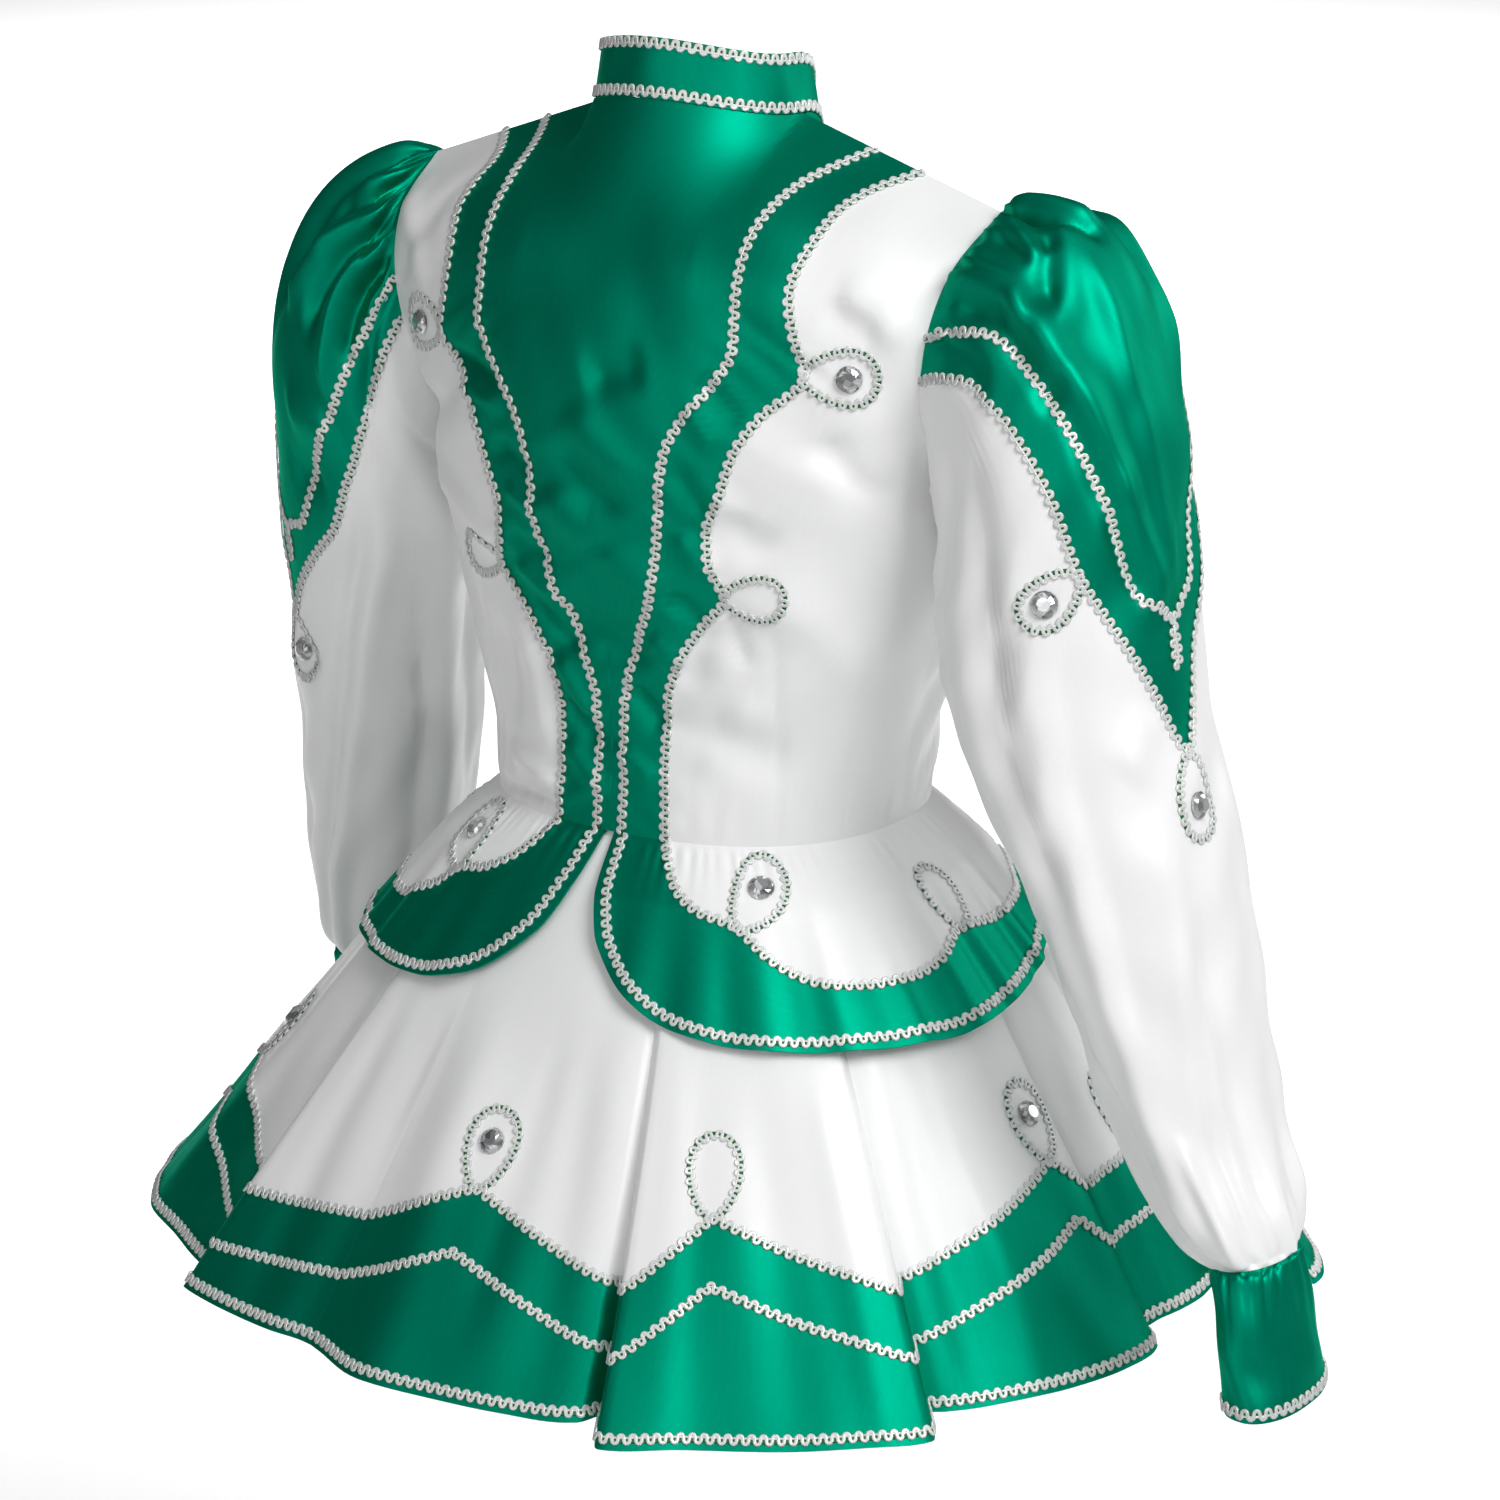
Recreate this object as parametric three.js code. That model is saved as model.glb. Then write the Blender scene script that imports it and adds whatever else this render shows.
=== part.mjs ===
// Majorette dress: satin bodice with stand collar, leg-of-mutton sleeves, tailed peplum and fluted skirt.
// Millimetres, +Z up. The wearer faces -Y, their left side is at +X. The origin is the middle of the neck seam.
import * as THREE from 'three';
import { mergeVertices } from 'three/addons/utils/BufferGeometryUtils.js';

const CLOTH = 2;          // wall of satin, interfacing and seam allowance
const SEAM = 0.2;         // each piece stops this far short of its seam line
const WAIST_Z = -392;
const HEM_Z = -661;
const WAIST_HALF_WIDTH = 126;
const WAIST_HALF_DEPTH = 103;
const HEM_HALF_WIDTH = 366;
const HEM_HALF_DEPTH = 290;
const HIP_FULLNESS = 0.86; // below 1 squares the waist oval towards its corners
const COLLAR_HEIGHT = 32;
const COLLAR_LEAN = 5;
const PEPLUM_LIFT = 8;    // how far the peplum stands off the skirt
const SEAM_SHARE = 0.05;  // how much of a gore's width the steep side of a flute takes
const NECK = { side: 63, back: 61, front: 62, sideZ: 0, backZ: 11, frontZ: -42, share: 0.36 };
const SHOULDER_TIP = { x: 189, y: 1, z: -42 };

// Half of the bodice back: a row for each level from waist (up 0) towards the shoulder (up 1).
// midZ and midY give the centre line, edgeX, edgeY and edgeZ the side seam or armhole edge;
// turn is how far the oval turns between the two, and full squares it.
const BACK_ROWS = [
  { up: 0.00, midZ: -392, midY: 103, edgeX: 126, edgeY: 0, edgeZ: -392, turn: 90, full: 0.86 },
  { up: 0.14, midZ: -340, midY: 99, edgeX: 134, edgeY: 0, edgeZ: -340, turn: 90, full: 0.86 },
  { up: 0.34, midZ: -265, midY: 106, edgeX: 154, edgeY: 0, edgeZ: -265, turn: 90, full: 0.88 },
  { up: 0.50, midZ: -205, midY: 115, edgeX: 170, edgeY: 0, edgeZ: -210, turn: 88, full: 0.92 },
  { up: 0.62, midZ: -160, midY: 118, edgeX: 170, edgeY: 42, edgeZ: -163, turn: 66, full: 1 },
  { up: 0.78, midZ: -100, midY: 110, edgeX: 176, edgeY: 58, edgeZ: -112, turn: 50, full: 1 },
  { up: 0.91, midZ: -45, midY: 88, edgeX: 184, edgeY: 40, edgeZ: -66, turn: 38, full: 1 },
];
const FRONT_ROWS = [
  { up: 0.00, midZ: -392, midY: -103, edgeX: 126, edgeY: 0, edgeZ: -392, turn: 90, full: 0.86 },
  { up: 0.14, midZ: -340, midY: -106, edgeX: 134, edgeY: 0, edgeZ: -340, turn: 90, full: 0.86 },
  { up: 0.34, midZ: -265, midY: -126, edgeX: 154, edgeY: 0, edgeZ: -265, turn: 90, full: 0.88 },
  { up: 0.50, midZ: -215, midY: -128, edgeX: 170, edgeY: 0, edgeZ: -210, turn: 88, full: 0.92 },
  { up: 0.62, midZ: -175, midY: -118, edgeX: 156, edgeY: -36, edgeZ: -165, turn: 72, full: 1 },
  { up: 0.78, midZ: -125, midY: -98, edgeX: 160, edgeY: -38, edgeZ: -112, turn: 60, full: 1 },
  { up: 0.91, midZ: -82, midY: -78, edgeX: 177, edgeY: -22, edgeZ: -66, turn: 42, full: 1 },
];

// Seam lines of the bodice, as shares of the way from centre to edge at each height.
const INNER_LINE = [
  { up: 0.00, across: 0.008 }, { up: 0.14, across: 0.012 }, { up: 0.22, across: 0.032 },
  { up: 0.30, across: 0.065 }, { up: 0.38, across: 0.115 }, { up: 0.455, across: 0.135 },
  { up: 0.53, across: 0.155 }, { up: 0.60, across: 0.220 }, { up: 0.65, across: 0.285 },
  { up: 0.71, across: 0.380 }, { up: 0.76, across: 0.430 }, { up: 0.88, across: 0.430 },
  { up: 0.95, across: 0.475 }, { up: 1.00, across: 0.600 },
];
const OUTER_LINE = [
  { up: 0.00, across: 0.150 }, { up: 0.12, across: 0.136 }, { up: 0.20, across: 0.137 },
  { up: 0.28, across: 0.172 }, { up: 0.34, across: 0.235 }, { up: 0.385, across: 0.290 },
  { up: 0.42, across: 0.262 }, { up: 0.48, across: 0.250 }, { up: 0.55, across: 0.320 },
  { up: 0.60, across: 0.400 }, { up: 0.66, across: 0.500 }, { up: 0.73, across: 0.635 },
  { up: 0.79, across: 0.605 }, { up: 0.85, across: 0.585 }, { up: 0.90, across: 0.600 },
  { up: 0.95, across: 0.630 }, { up: 1.00, across: 0.750 },
];
const FRONT_LINE = [
  { up: 0.00, across: 0.30 }, { up: 0.20, across: 0.33 }, { up: 0.40, across: 0.42 },
  { up: 0.60, across: 0.50 }, { up: 0.80, across: 0.58 }, { up: 1.00, across: 0.75 },
];
const BODICE_LEVELS = [0, 0.1, 0.2, 0.3, 0.4, 0.5, 0.5625, 0.625, 0.6875, 0.75, 0.8125, 0.875, 0.9375, 1];

// Peplum border, from the centre back round to the centre front: its sewn line and its free edge,
// each as degrees round the body and a share of the way from waist to skirt hem.
const PEPLUM_ROWS = [
  { lineAngle: 13.5, lineDrop: 0.000, edgeAngle: 0.8, edgeDrop: 0.000 },
  { lineAngle: 15.5, lineDrop: 0.030, edgeAngle: 1.8, edgeDrop: 0.083 },
  { lineAngle: 18.5, lineDrop: 0.075, edgeAngle: 3.4, edgeDrop: 0.145 },
  { lineAngle: 24.0, lineDrop: 0.108, edgeAngle: 5.6, edgeDrop: 0.195 },
  { lineAngle: 32.0, lineDrop: 0.130, edgeAngle: 11.2, edgeDrop: 0.262 },
  { lineAngle: 38.0, lineDrop: 0.180, edgeAngle: 19.0, edgeDrop: 0.308 },
  { lineAngle: 44.5, lineDrop: 0.214, edgeAngle: 30.0, edgeDrop: 0.332 },
  { lineAngle: 52.0, lineDrop: 0.232, edgeAngle: 43.0, edgeDrop: 0.338 },
  { lineAngle: 63.0, lineDrop: 0.234, edgeAngle: 57.0, edgeDrop: 0.340 },
  { lineAngle: 75.0, lineDrop: 0.218, edgeAngle: 71.0, edgeDrop: 0.340 },
  { lineAngle: 85.0, lineDrop: 0.180, edgeAngle: 84.0, edgeDrop: 0.325 },
  { lineAngle: 95.0, lineDrop: 0.190, edgeAngle: 96.0, edgeDrop: 0.298 },
  { lineAngle: 108.0, lineDrop: 0.185, edgeAngle: 108.0, edgeDrop: 0.270 },
  { lineAngle: 124.0, lineDrop: 0.165, edgeAngle: 124.0, edgeDrop: 0.250 },
  { lineAngle: 142.0, lineDrop: 0.145, edgeAngle: 142.0, edgeDrop: 0.235 },
  { lineAngle: 161.0, lineDrop: 0.135, edgeAngle: 161.0, edgeDrop: 0.228 },
  { lineAngle: 179.8, lineDrop: 0.130, edgeAngle: 179.8, edgeDrop: 0.225 },
];

// Skirt gores, from the centre back towards the wearer's right. Seam and point are degrees round the
// body. Valley is how far the hem stands off its oval at the seam, hem the same at five places across
// the gore. The green band reaches up to bandAtSeam and bandAtPoint, as shares of the drop.
const GORES = [
  { seam: 17, valley: -22, hem: [17, 5, 0, -5, -11], bandAtSeam: 0.768, point: 27.4, bandAtPoint: 0.626 },
  { seam: 50, valley: -46, hem: [-45, -48, -50, -52, -59], bandAtSeam: 0.762, point: 81, bandAtPoint: 0.617 },
  { seam: 88, valley: -82, hem: [-79, -75, -68, -61, -56], bandAtSeam: 0.715, point: 105, bandAtPoint: 0.690 },
  { seam: 110, valley: -54, hem: [0, 6, 7, 2, -4], bandAtSeam: 0.745, point: 123, bandAtPoint: 0.630 },
  { seam: 136, valley: -34, hem: [2, 8, 5, 0, -6], bandAtSeam: 0.760, point: 150, bandAtPoint: 0.636 },
  { seam: 165, valley: -32, hem: [4, 6, 1, 2, -2], bandAtSeam: 0.760, point: 180, bandAtPoint: 0.636 },
  { seam: 194, valley: -36, hem: [2, 4, 8, 1, -6], bandAtSeam: 0.760, point: 208, bandAtPoint: 0.636 },
  { seam: 223, valley: -42, hem: [-10, -20, -28, -32, -34], bandAtSeam: 0.760, point: 237, bandAtPoint: 0.636 },
  { seam: 252, valley: -54, hem: [-32, -26, -18, -12, -8], bandAtSeam: 0.760, point: 268, bandAtPoint: 0.636 },
  { seam: 284, valley: -30, hem: [-8, -4, 0, -10, -13], bandAtSeam: 0.760, point: 301, bandAtPoint: 0.655 },
  { seam: 327, valley: -16, hem: [8, 5, 1, -3, -8], bandAtSeam: 0.800, point: 337, bandAtPoint: 0.773 },
  { seam: 346, valley: -8, hem: [-6, 5, 1, -2.5, -9], bandAtSeam: 0.757, point: 359.2, bandAtPoint: 0.645 },
];

// Sleeves: a row for each ring from armhole to wrist, with its outer and inner point in the X-Z plane,
// the Y of its middle and half its front-to-back depth. Turn is how far the cloth has twisted there,
// in degrees towards the back.
const RIGHT_SLEEVE = [
  { outX: -189, outZ: -42, inX: -170, inZ: -210, midY: 10, half: 50, turn: 0 },
  { outX: -208, outZ: -34, inX: -172, inZ: -214, midY: 8, half: 60, turn: 2 },
  { outX: -240, outZ: -36, inX: -173, inZ: -222, midY: 8, half: 68, turn: 3 },
  { outX: -272, outZ: -68, inX: -175, inZ: -240, midY: 10, half: 73, turn: 4 },
  { outX: -296, outZ: -135, inX: -178, inZ: -262, midY: 14, half: 76, turn: 5 },
  { outX: -307, outZ: -210, inX: -185, inZ: -292, midY: 18, half: 77, turn: 6 },
  { outX: -321, outZ: -290, inX: -206, inZ: -333, midY: 26, half: 75, turn: 6 },
  { outX: -344, outZ: -362, inX: -246, inZ: -388, midY: 36, half: 68, turn: 6 },
  { outX: -364, outZ: -430, inX: -277, inZ: -442, midY: 46, half: 60, turn: 6 },
  { outX: -386, outZ: -498, inX: -312, inZ: -504, midY: 56, half: 51, turn: 6 },
  { outX: -409, outZ: -543, inX: -349, inZ: -555, midY: 67, half: 41, turn: 6 },
  { outX: -413, outZ: -561, inX: -373, inZ: -568, midY: 73, half: 28, turn: 6 },
];
const RIGHT_CUFF = [
  { outX: -413, outZ: -561.2, inX: -373, inZ: -568.2, midY: 73, half: 28, turn: 6 },
  { outX: -417, outZ: -569, inX: -375, inZ: -575, midY: 74, half: 34, turn: 6 },
  { outX: -425, outZ: -604, inX: -384, inZ: -606, midY: 77, half: 39, turn: 6 },
  { outX: -433, outZ: -637, inX: -392, inZ: -637, midY: 80, half: 42, turn: 6 },
];
const LEFT_SLEEVE = [
  { outX: 189, outZ: -42, inX: 170, inZ: -210, midY: 10, half: 50, turn: 0 },
  { outX: 205, outZ: -42, inX: 172, inZ: -214, midY: 8, half: 60, turn: 22 },
  { outX: 236, outZ: -56, inX: 173, inZ: -222, midY: 6, half: 68, turn: 36 },
  { outX: 270, outZ: -92, inX: 175, inZ: -240, midY: 4, half: 73, turn: 48 },
  { outX: 293, outZ: -150, inX: 179, inZ: -262, midY: -2, half: 73, turn: 58 },
  { outX: 302, outZ: -220, inX: 188, inZ: -290, midY: -10, half: 70, turn: 64 },
  { outX: 312, outZ: -295, inX: 204, inZ: -330, midY: -22, half: 63, turn: 66 },
  { outX: 326, outZ: -370, inX: 216, inZ: -392, midY: -38, half: 57, turn: 66 },
  { outX: 342, outZ: -442, inX: 237, inZ: -455, midY: -58, half: 53, turn: 66 },
  { outX: 360, outZ: -510, inX: 262, inZ: -516, midY: -80, half: 49, turn: 66 },
  { outX: 373, outZ: -566, inX: 288, inZ: -570, midY: -102, half: 42, turn: 66 },
  { outX: 376, outZ: -592, inX: 314, inZ: -597, midY: -118, half: 30, turn: 66 },
];
const LEFT_CUFF = [
  { outX: 376, outZ: -592.2, inX: 314, inZ: -597.2, midY: -118, half: 30, turn: 66 },
  { outX: 381, outZ: -600, inX: 313, inZ: -604, midY: -121, half: 34, turn: 66 },
  { outX: 391, outZ: -630, inX: 322, inZ: -633, midY: -135, half: 36, turn: 66 },
  { outX: 400, outZ: -660, inX: 332, inZ: -662, midY: -150, half: 38, turn: 66 },
];

// Sleeve seam lines, from the top of the sleeve (angle 0) round to the armhole, in ring rows.
const CAP_LINE = [
  { angle: 0, row: 5.38 }, { angle: 9, row: 5.27 }, { angle: 20, row: 5.09 },
  { angle: 28, row: 4.60 }, { angle: 38, row: 4.05 }, { angle: 48, row: 3.45 },
  { angle: 57, row: 2.80 }, { angle: 66, row: 1.60 }, { angle: 74, row: 0 },
];
const BAND_LINE = [
  { angle: 0, row: 6.25 }, { angle: 11.25, row: 5.90 }, { angle: 22.5, row: 5.55 },
  { angle: 33.75, row: 5.20 }, { angle: 45, row: 4.78 }, { angle: 56.25, row: 4.00 },
  { angle: 67.5, row: 3.25 }, { angle: 78.75, row: 2.20 }, { angle: 90, row: 0 },
];
const SLEEVE_COLUMNS = 32;
const CAP_GATHER = { pitch: 18, height: 4 };
const WRIST_GATHER = { pitch: 22.5, height: 2.2, row: 10.1 };
const ARMHOLE_GAP = 0.5;

const MATERIALS = {
  green: new THREE.MeshStandardMaterial({ color: 0x007a52, roughness: 0.35, metalness: 0 }),
  white: new THREE.MeshStandardMaterial({ color: 0xf1f1f3, roughness: 0.4, metalness: 0 }),
};

const DEGREE = Math.PI / 180;
const mix = (from, to, share) => from + (to - from) * share;
const clamp01 = (value) => Math.min(1, Math.max(0, value));

// The smooth curve through values at given places: a cubic piece between neighbours, level where the
// values turn back, so it never runs past them.
function smoothCurve(places, values, at) {
  const last = places.length - 1;
  const slope = (i) => (values[i + 1] - values[i]) / (places[i + 1] - places[i]);
  const tangent = (i) => {
    if (i === 0) return slope(0);
    if (i === last) return slope(last - 1);
    if (slope(i - 1) * slope(i) <= 0) return 0;
    const before = places[i] - places[i - 1];
    const after = places[i + 1] - places[i];
    const mean = (slope(i - 1) * after + slope(i) * before) / (before + after);
    const most = 3 * Math.min(Math.abs(slope(i - 1)), Math.abs(slope(i)));
    return Math.sign(mean) * Math.min(Math.abs(mean), most);
  };
  let i = 0;
  while (i < last - 1 && at > places[i + 1]) i += 1;
  const span = places[i + 1] - places[i];
  const t = clamp01((at - places[i]) / span);
  const square = t * t;
  const cube = square * t;
  return (2 * cube - 3 * square + 1) * values[i] + (cube - 2 * square + t) * span * tangent(i)
    + (3 * square - 2 * cube) * values[i + 1] + (cube - square) * span * tangent(i + 1);
}

function lineAcross(line, up) {
  return smoothCurve(line.map((row) => row.up), line.map((row) => row.across), up);
}

// The neck and shoulder line: an oval arc round the neck, then the straight shoulder seam.
function shoulderLine(across, front) {
  const side = front ? -1 : 1;
  const midZ = front ? NECK.frontZ : NECK.backZ;
  const depth = front ? NECK.front : NECK.back;
  if (across < NECK.share) {
    const turn = (across / NECK.share) * 90 * DEGREE;
    const rise = Math.sin(turn) ** 2;
    return [NECK.side * Math.sin(turn), side * depth * Math.cos(turn), mix(midZ, NECK.sideZ, rise)];
  }
  const along = (across - NECK.share) / (1 - NECK.share);
  return [mix(NECK.side, SHOULDER_TIP.x, along), SHOULDER_TIP.y * along, mix(NECK.sideZ, SHOULDER_TIP.z, along)];
}

function ovalPoint(row, across) {
  const whole = row.turn * DEGREE;
  const sideways = (Math.sin(across * whole) / Math.sin(whole)) ** row.full;
  const back = Math.max(0, (Math.cos(across * whole) - Math.cos(whole)) / (1 - Math.cos(whole))) ** row.full;
  return [row.edgeX * sideways, mix(row.edgeY, row.midY, back), mix(row.edgeZ, row.midZ, back)];
}

// A point of the bodice: across runs from the centre line to the side seam or armhole edge,
// up from waist to shoulder. The sign of across gives the side: + is the wearer's left.
function bodicePoint(across, up, front) {
  const rows = front ? FRONT_ROWS : BACK_ROWS;
  const share = Math.abs(across);
  const places = rows.map((row) => row.up).concat(1);
  const points = rows.map((row) => ovalPoint(row, share)).concat([shoulderLine(share, front)]);
  const [x, y, z] = [0, 1, 2].map((k) => smoothCurve(places, points.map((p) => p[k]), up));
  return new THREE.Vector3(across < 0 ? -x : x, y, z);
}

// The direction out of a surface, from its slopes on both sides, turned to agree with the hint.
function outward(surface, p, q, step, hint, range) {
  const low = (v, r) => Math.max(r[0], v - step);
  const high = (v, r) => Math.min(r[1], v + step);
  const alongP = surface(high(p, range.p), q).sub(surface(low(p, range.p), q));
  const alongQ = surface(p, high(q, range.q)).sub(surface(p, low(q, range.q)));
  const normal = alongP.cross(alongQ).normalize();
  return normal.dot(hint) < 0 ? normal.negate() : normal;
}

function bodiceNormal(across, up, front) {
  const side = across < 0 ? -1 : 1;
  const surface = (p, q) => bodicePoint(side * p, q, front);
  const share = Math.abs(across);
  const hint = surface(share, up).sub(new THREE.Vector3(0, 0, -200)).normalize();
  const range = { p: [0.002, 0.999], q: [0, 1] };
  if (up > 0.999 && share > NECK.share) {
    range.p = [NECK.share + 0.002, 0.999];
  }
  const normal = outward(surface, share, up, 0.004, hint, range);
  if (share > 0.999 && up <= 0.5) normal.set(Math.sign(normal.x), 0, 0);
  return normal;
}

// On the shoulder seam both walls lean along the bisector of front and back, so they don't cross.
function bodiceInward(across, up, front) {
  const own = bodiceNormal(across, up, front);
  if (up > 0.999 && Math.abs(across) >= NECK.share - 0.001) {
    return own.add(bodiceNormal(across, up, !front)).normalize();
  }
  return own;
}

// Which gore an angle lies in, and how far across it.
function goreAt(angle) {
  const first = GORES[0].seam;
  const round = ((angle - first) % 360 + 360) % 360 + first;
  let index = GORES.length - 1;
  while (GORES[index].seam > round + 1e-9) index -= 1;
  const next = GORES[(index + 1) % GORES.length];
  const end = index === GORES.length - 1 ? GORES[0].seam + 360 : next.seam;
  return { index, next, across: (round - GORES[index].seam) / (end - GORES[index].seam) };
}

// Degrees from centre back towards the wearer's right, share of the drop from waist to hem, and a lift
// off the cone. The flutes grow towards the hem.
function skirtCone(angle, drop, lift, fluted) {
  const squared = mix(HIP_FULLNESS, 1, clamp01(drop));
  const sine = Math.sin(angle * DEGREE);
  const cosine = Math.cos(angle * DEGREE);
  const sideways = Math.sign(sine) * Math.abs(sine) ** squared;
  const backwards = Math.sign(cosine) * Math.abs(cosine) ** squared;
  let out = lift;
  if (fluted) {
    const { index, next, across } = goreAt(angle);
    const { valley, hem } = GORES[index];
    const places = [0, SEAM_SHARE, 0.275, 0.5, 0.725, 1 - SEAM_SHARE, 1];
    const level = smoothCurve(places, [valley, ...hem, next.valley], across);
    out += level * clamp01((drop - 0.15) / 0.85) ** 1.2;
  }
  const halfWidth = mix(WAIST_HALF_WIDTH, HEM_HALF_WIDTH, drop) + out;
  const halfDepth = mix(WAIST_HALF_DEPTH, HEM_HALF_DEPTH, drop) + out;
  return new THREE.Vector3(-halfWidth * sideways, halfDepth * backwards, mix(WAIST_Z, HEM_Z, drop));
}

const SKIRT_TUCK = 4.2;   // the skirt's top lies inside the peplum's wall
const skirtPoint = (angle, drop) => skirtCone(angle, drop, -SKIRT_TUCK * (1 - clamp01(drop / 0.1)), true);
const peplumPoint = (angle, drop) => skirtCone(angle, drop, PEPLUM_LIFT * clamp01(drop / 0.1), false);

function coneNormal(surface, angle, drop) {
  const hint = new THREE.Vector3(-Math.sin(angle * DEGREE), Math.cos(angle * DEGREE), 0.5);
  return outward(surface, angle, drop, 0.004, hint, { p: [-1e6, 1e6], q: [0, 1] });
}

// A ring point of a sleeve: before its turn, angle 0 is its top, 90 its back, 180 the underarm.
function sleeveBase(rows, row, angle) {
  const places = rows.map((_, i) => i);
  const value = (name) => smoothCurve(places, rows.map((r) => r[name]), row);
  const outX = value('outX');
  const outZ = value('outZ');
  const inX = value('inX');
  const inZ = value('inZ');
  const turned = (angle + value('turn')) * DEGREE;
  const cosine = Math.cos(turned);
  return new THREE.Vector3(
    (outX + inX) / 2 + ((outX - inX) / 2) * cosine,
    value('midY') + value('half') * Math.sin(turned),
    (outZ + inZ) / 2 + ((outZ - inZ) / 2) * cosine,
  );
}

// The armhole edge of the bodice, at the height of a sleeve's ring point, a seam's width further out.
function armholePoint(side, angle) {
  const wanted = mix(BACK_ROWS[3].edgeZ, SHOULDER_TIP.z, (1 + Math.cos(angle * DEGREE)) / 2);
  const front = angle < 0;
  let low = 0.5;
  let high = 1;
  for (let i = 0; i < 30; i += 1) {
    const middle = (low + high) / 2;
    if (bodicePoint(1, middle, front).z < wanted) low = middle;
    else high = middle;
  }
  const point = bodicePoint(1, low, front);
  return new THREE.Vector3(side * (point.x + ARMHOLE_GAP), point.y, point.z);
}

// A sleeve's surface: the rings, led into the armhole edge over the first row, with gathers
// at the head and at the wrist.
function sleevePoint(rows, side, row, angle, gathers) {
  const point = sleeveBase(rows, row, angle);
  if (row < 1) {
    const settle = 1 - clamp01(row);
    const edge = armholePoint(side, angle);
    point.add(edge.sub(sleeveBase(rows, 0, angle)).multiplyScalar(settle * settle * (3 - 2 * settle)));
  }
  if (gathers > 0) {
    const middle = sleeveBase(rows, row, 0).add(sleeveBase(rows, row, 180)).multiplyScalar(0.5);
    const out = point.clone().sub(middle).normalize();
    point.add(out.multiplyScalar(gathers));
  }
  return point;
}

function capGather(row, angle) {
  const head = row < 1 ? row : clamp01((4.5 - row) / 3.5);
  const inside = clamp01((75 - Math.abs(angle)) / 15);
  return CAP_GATHER.height * head * inside * (1 + Math.cos((angle / CAP_GATHER.pitch) * 360 * DEGREE)) / 2;
}

function wristGather(row, angle) {
  const near = clamp01(1 - Math.abs(row - WRIST_GATHER.row) / 0.9);
  return WRIST_GATHER.height * near * (1 + Math.cos((angle / WRIST_GATHER.pitch) * 360 * DEGREE)) / 2;
}

function sleeveNormal(rows, side, row, angle) {
  const surface = (p, q) => sleevePoint(rows, side, p, q, 0);
  const middle = sleeveBase(rows, row, 0).add(sleeveBase(rows, row, 180)).multiplyScalar(0.5);
  const hint = surface(row, angle).sub(middle);
  const range = { p: [row < 0.02 ? 0.02 : 0, rows.length - 1], q: [-1e6, 1e6] };
  return outward(surface, Math.max(row, range.p[0]), angle, 0.02, hint, range);
}

function signedVolume(geometry) {
  const index = geometry.getIndex();
  const position = geometry.getAttribute('position');
  const [a, b, c] = [new THREE.Vector3(), new THREE.Vector3(), new THREE.Vector3()];
  let volume = 0;
  for (let i = 0; i < index.count; i += 3) {
    a.fromBufferAttribute(position, index.getX(i));
    b.fromBufferAttribute(position, index.getX(i + 1));
    c.fromBufferAttribute(position, index.getX(i + 2));
    volume += a.dot(b.cross(c)) / 6;
  }
  return volume;
}

// A closed wall of cloth from a grid of outer points and the directions out of it. Unless the
// grid is a tube, its sides stop short of their seam lines, as its first and last rows do.
function clothWall(outer, normals, { tube = false, shortEnds = true } = {}) {
  const columns = outer.length;
  const rows = outer[0].length;
  const inner = outer.map((column, i) => column.map((p, j) => p.clone().addScaledVector(normals[i][j], -CLOTH)));
  const pull = (from, to) => {
    const way = to.clone().sub(from);
    const length = way.length();
    if (length > 1e-6) from.addScaledVector(way, Math.min(SEAM, length * 0.45) / length);
  };
  for (const sheet of [outer, inner]) {
    if (shortEnds) {
      sheet.forEach((column) => {
        pull(column[0], column[1]);
        pull(column[rows - 1], column[rows - 2]);
      });
    }
    if (!tube) {
      for (let j = 0; j < rows; j += 1) {
        pull(sheet[0][j], sheet[1][j]);
        pull(sheet[columns - 1][j], sheet[columns - 2][j]);
      }
    }
  }
  const positions = [];
  const triangles = [];
  const number = (sheet, i, j) => (sheet * columns + (i % columns)) * rows + j;
  for (const sheet of [outer, inner]) sheet.flat().forEach((p) => positions.push(p.x, p.y, p.z));
  const quad = (a, b, c, d) => triangles.push(a, b, c, a, c, d);
  const strips = tube ? columns : columns - 1;
  for (let i = 0; i < strips; i += 1) {
    for (let j = 0; j < rows - 1; j += 1) {
      quad(number(0, i, j), number(0, i + 1, j), number(0, i + 1, j + 1), number(0, i, j + 1));
      quad(number(1, i, j), number(1, i, j + 1), number(1, i + 1, j + 1), number(1, i + 1, j));
    }
    quad(number(0, i, 0), number(1, i, 0), number(1, i + 1, 0), number(0, i + 1, 0));
    const top = rows - 1;
    quad(number(0, i, top), number(0, i + 1, top), number(1, i + 1, top), number(1, i, top));
  }
  if (!tube) {
    for (let j = 0; j < rows - 1; j += 1) {
      const end = columns - 1;
      quad(number(0, 0, j), number(0, 0, j + 1), number(1, 0, j + 1), number(1, 0, j));
      quad(number(0, end, j), number(1, end, j), number(1, end, j + 1), number(0, end, j + 1));
    }
  }
  let geometry = new THREE.BufferGeometry();
  geometry.setAttribute('position', new THREE.Float32BufferAttribute(positions, 3));
  geometry.setIndex(triangles);
  geometry = mergeVertices(geometry, 1e-4);
  const index = Array.from(geometry.getIndex().array);
  const kept = [];
  for (let i = 0; i < index.length; i += 3) {
    const [a, b, c] = index.slice(i, i + 3);
    if (a !== b && b !== c && a !== c) kept.push(a, b, c);
  }
  geometry.setIndex(kept);
  if (signedVolume(geometry) < 0) {
    for (let i = 0; i < kept.length; i += 3) [kept[i + 1], kept[i + 2]] = [kept[i + 2], kept[i + 1]];
    geometry.setIndex(kept);
  }
  return geometry;
}

const dress = new THREE.Group();

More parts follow.
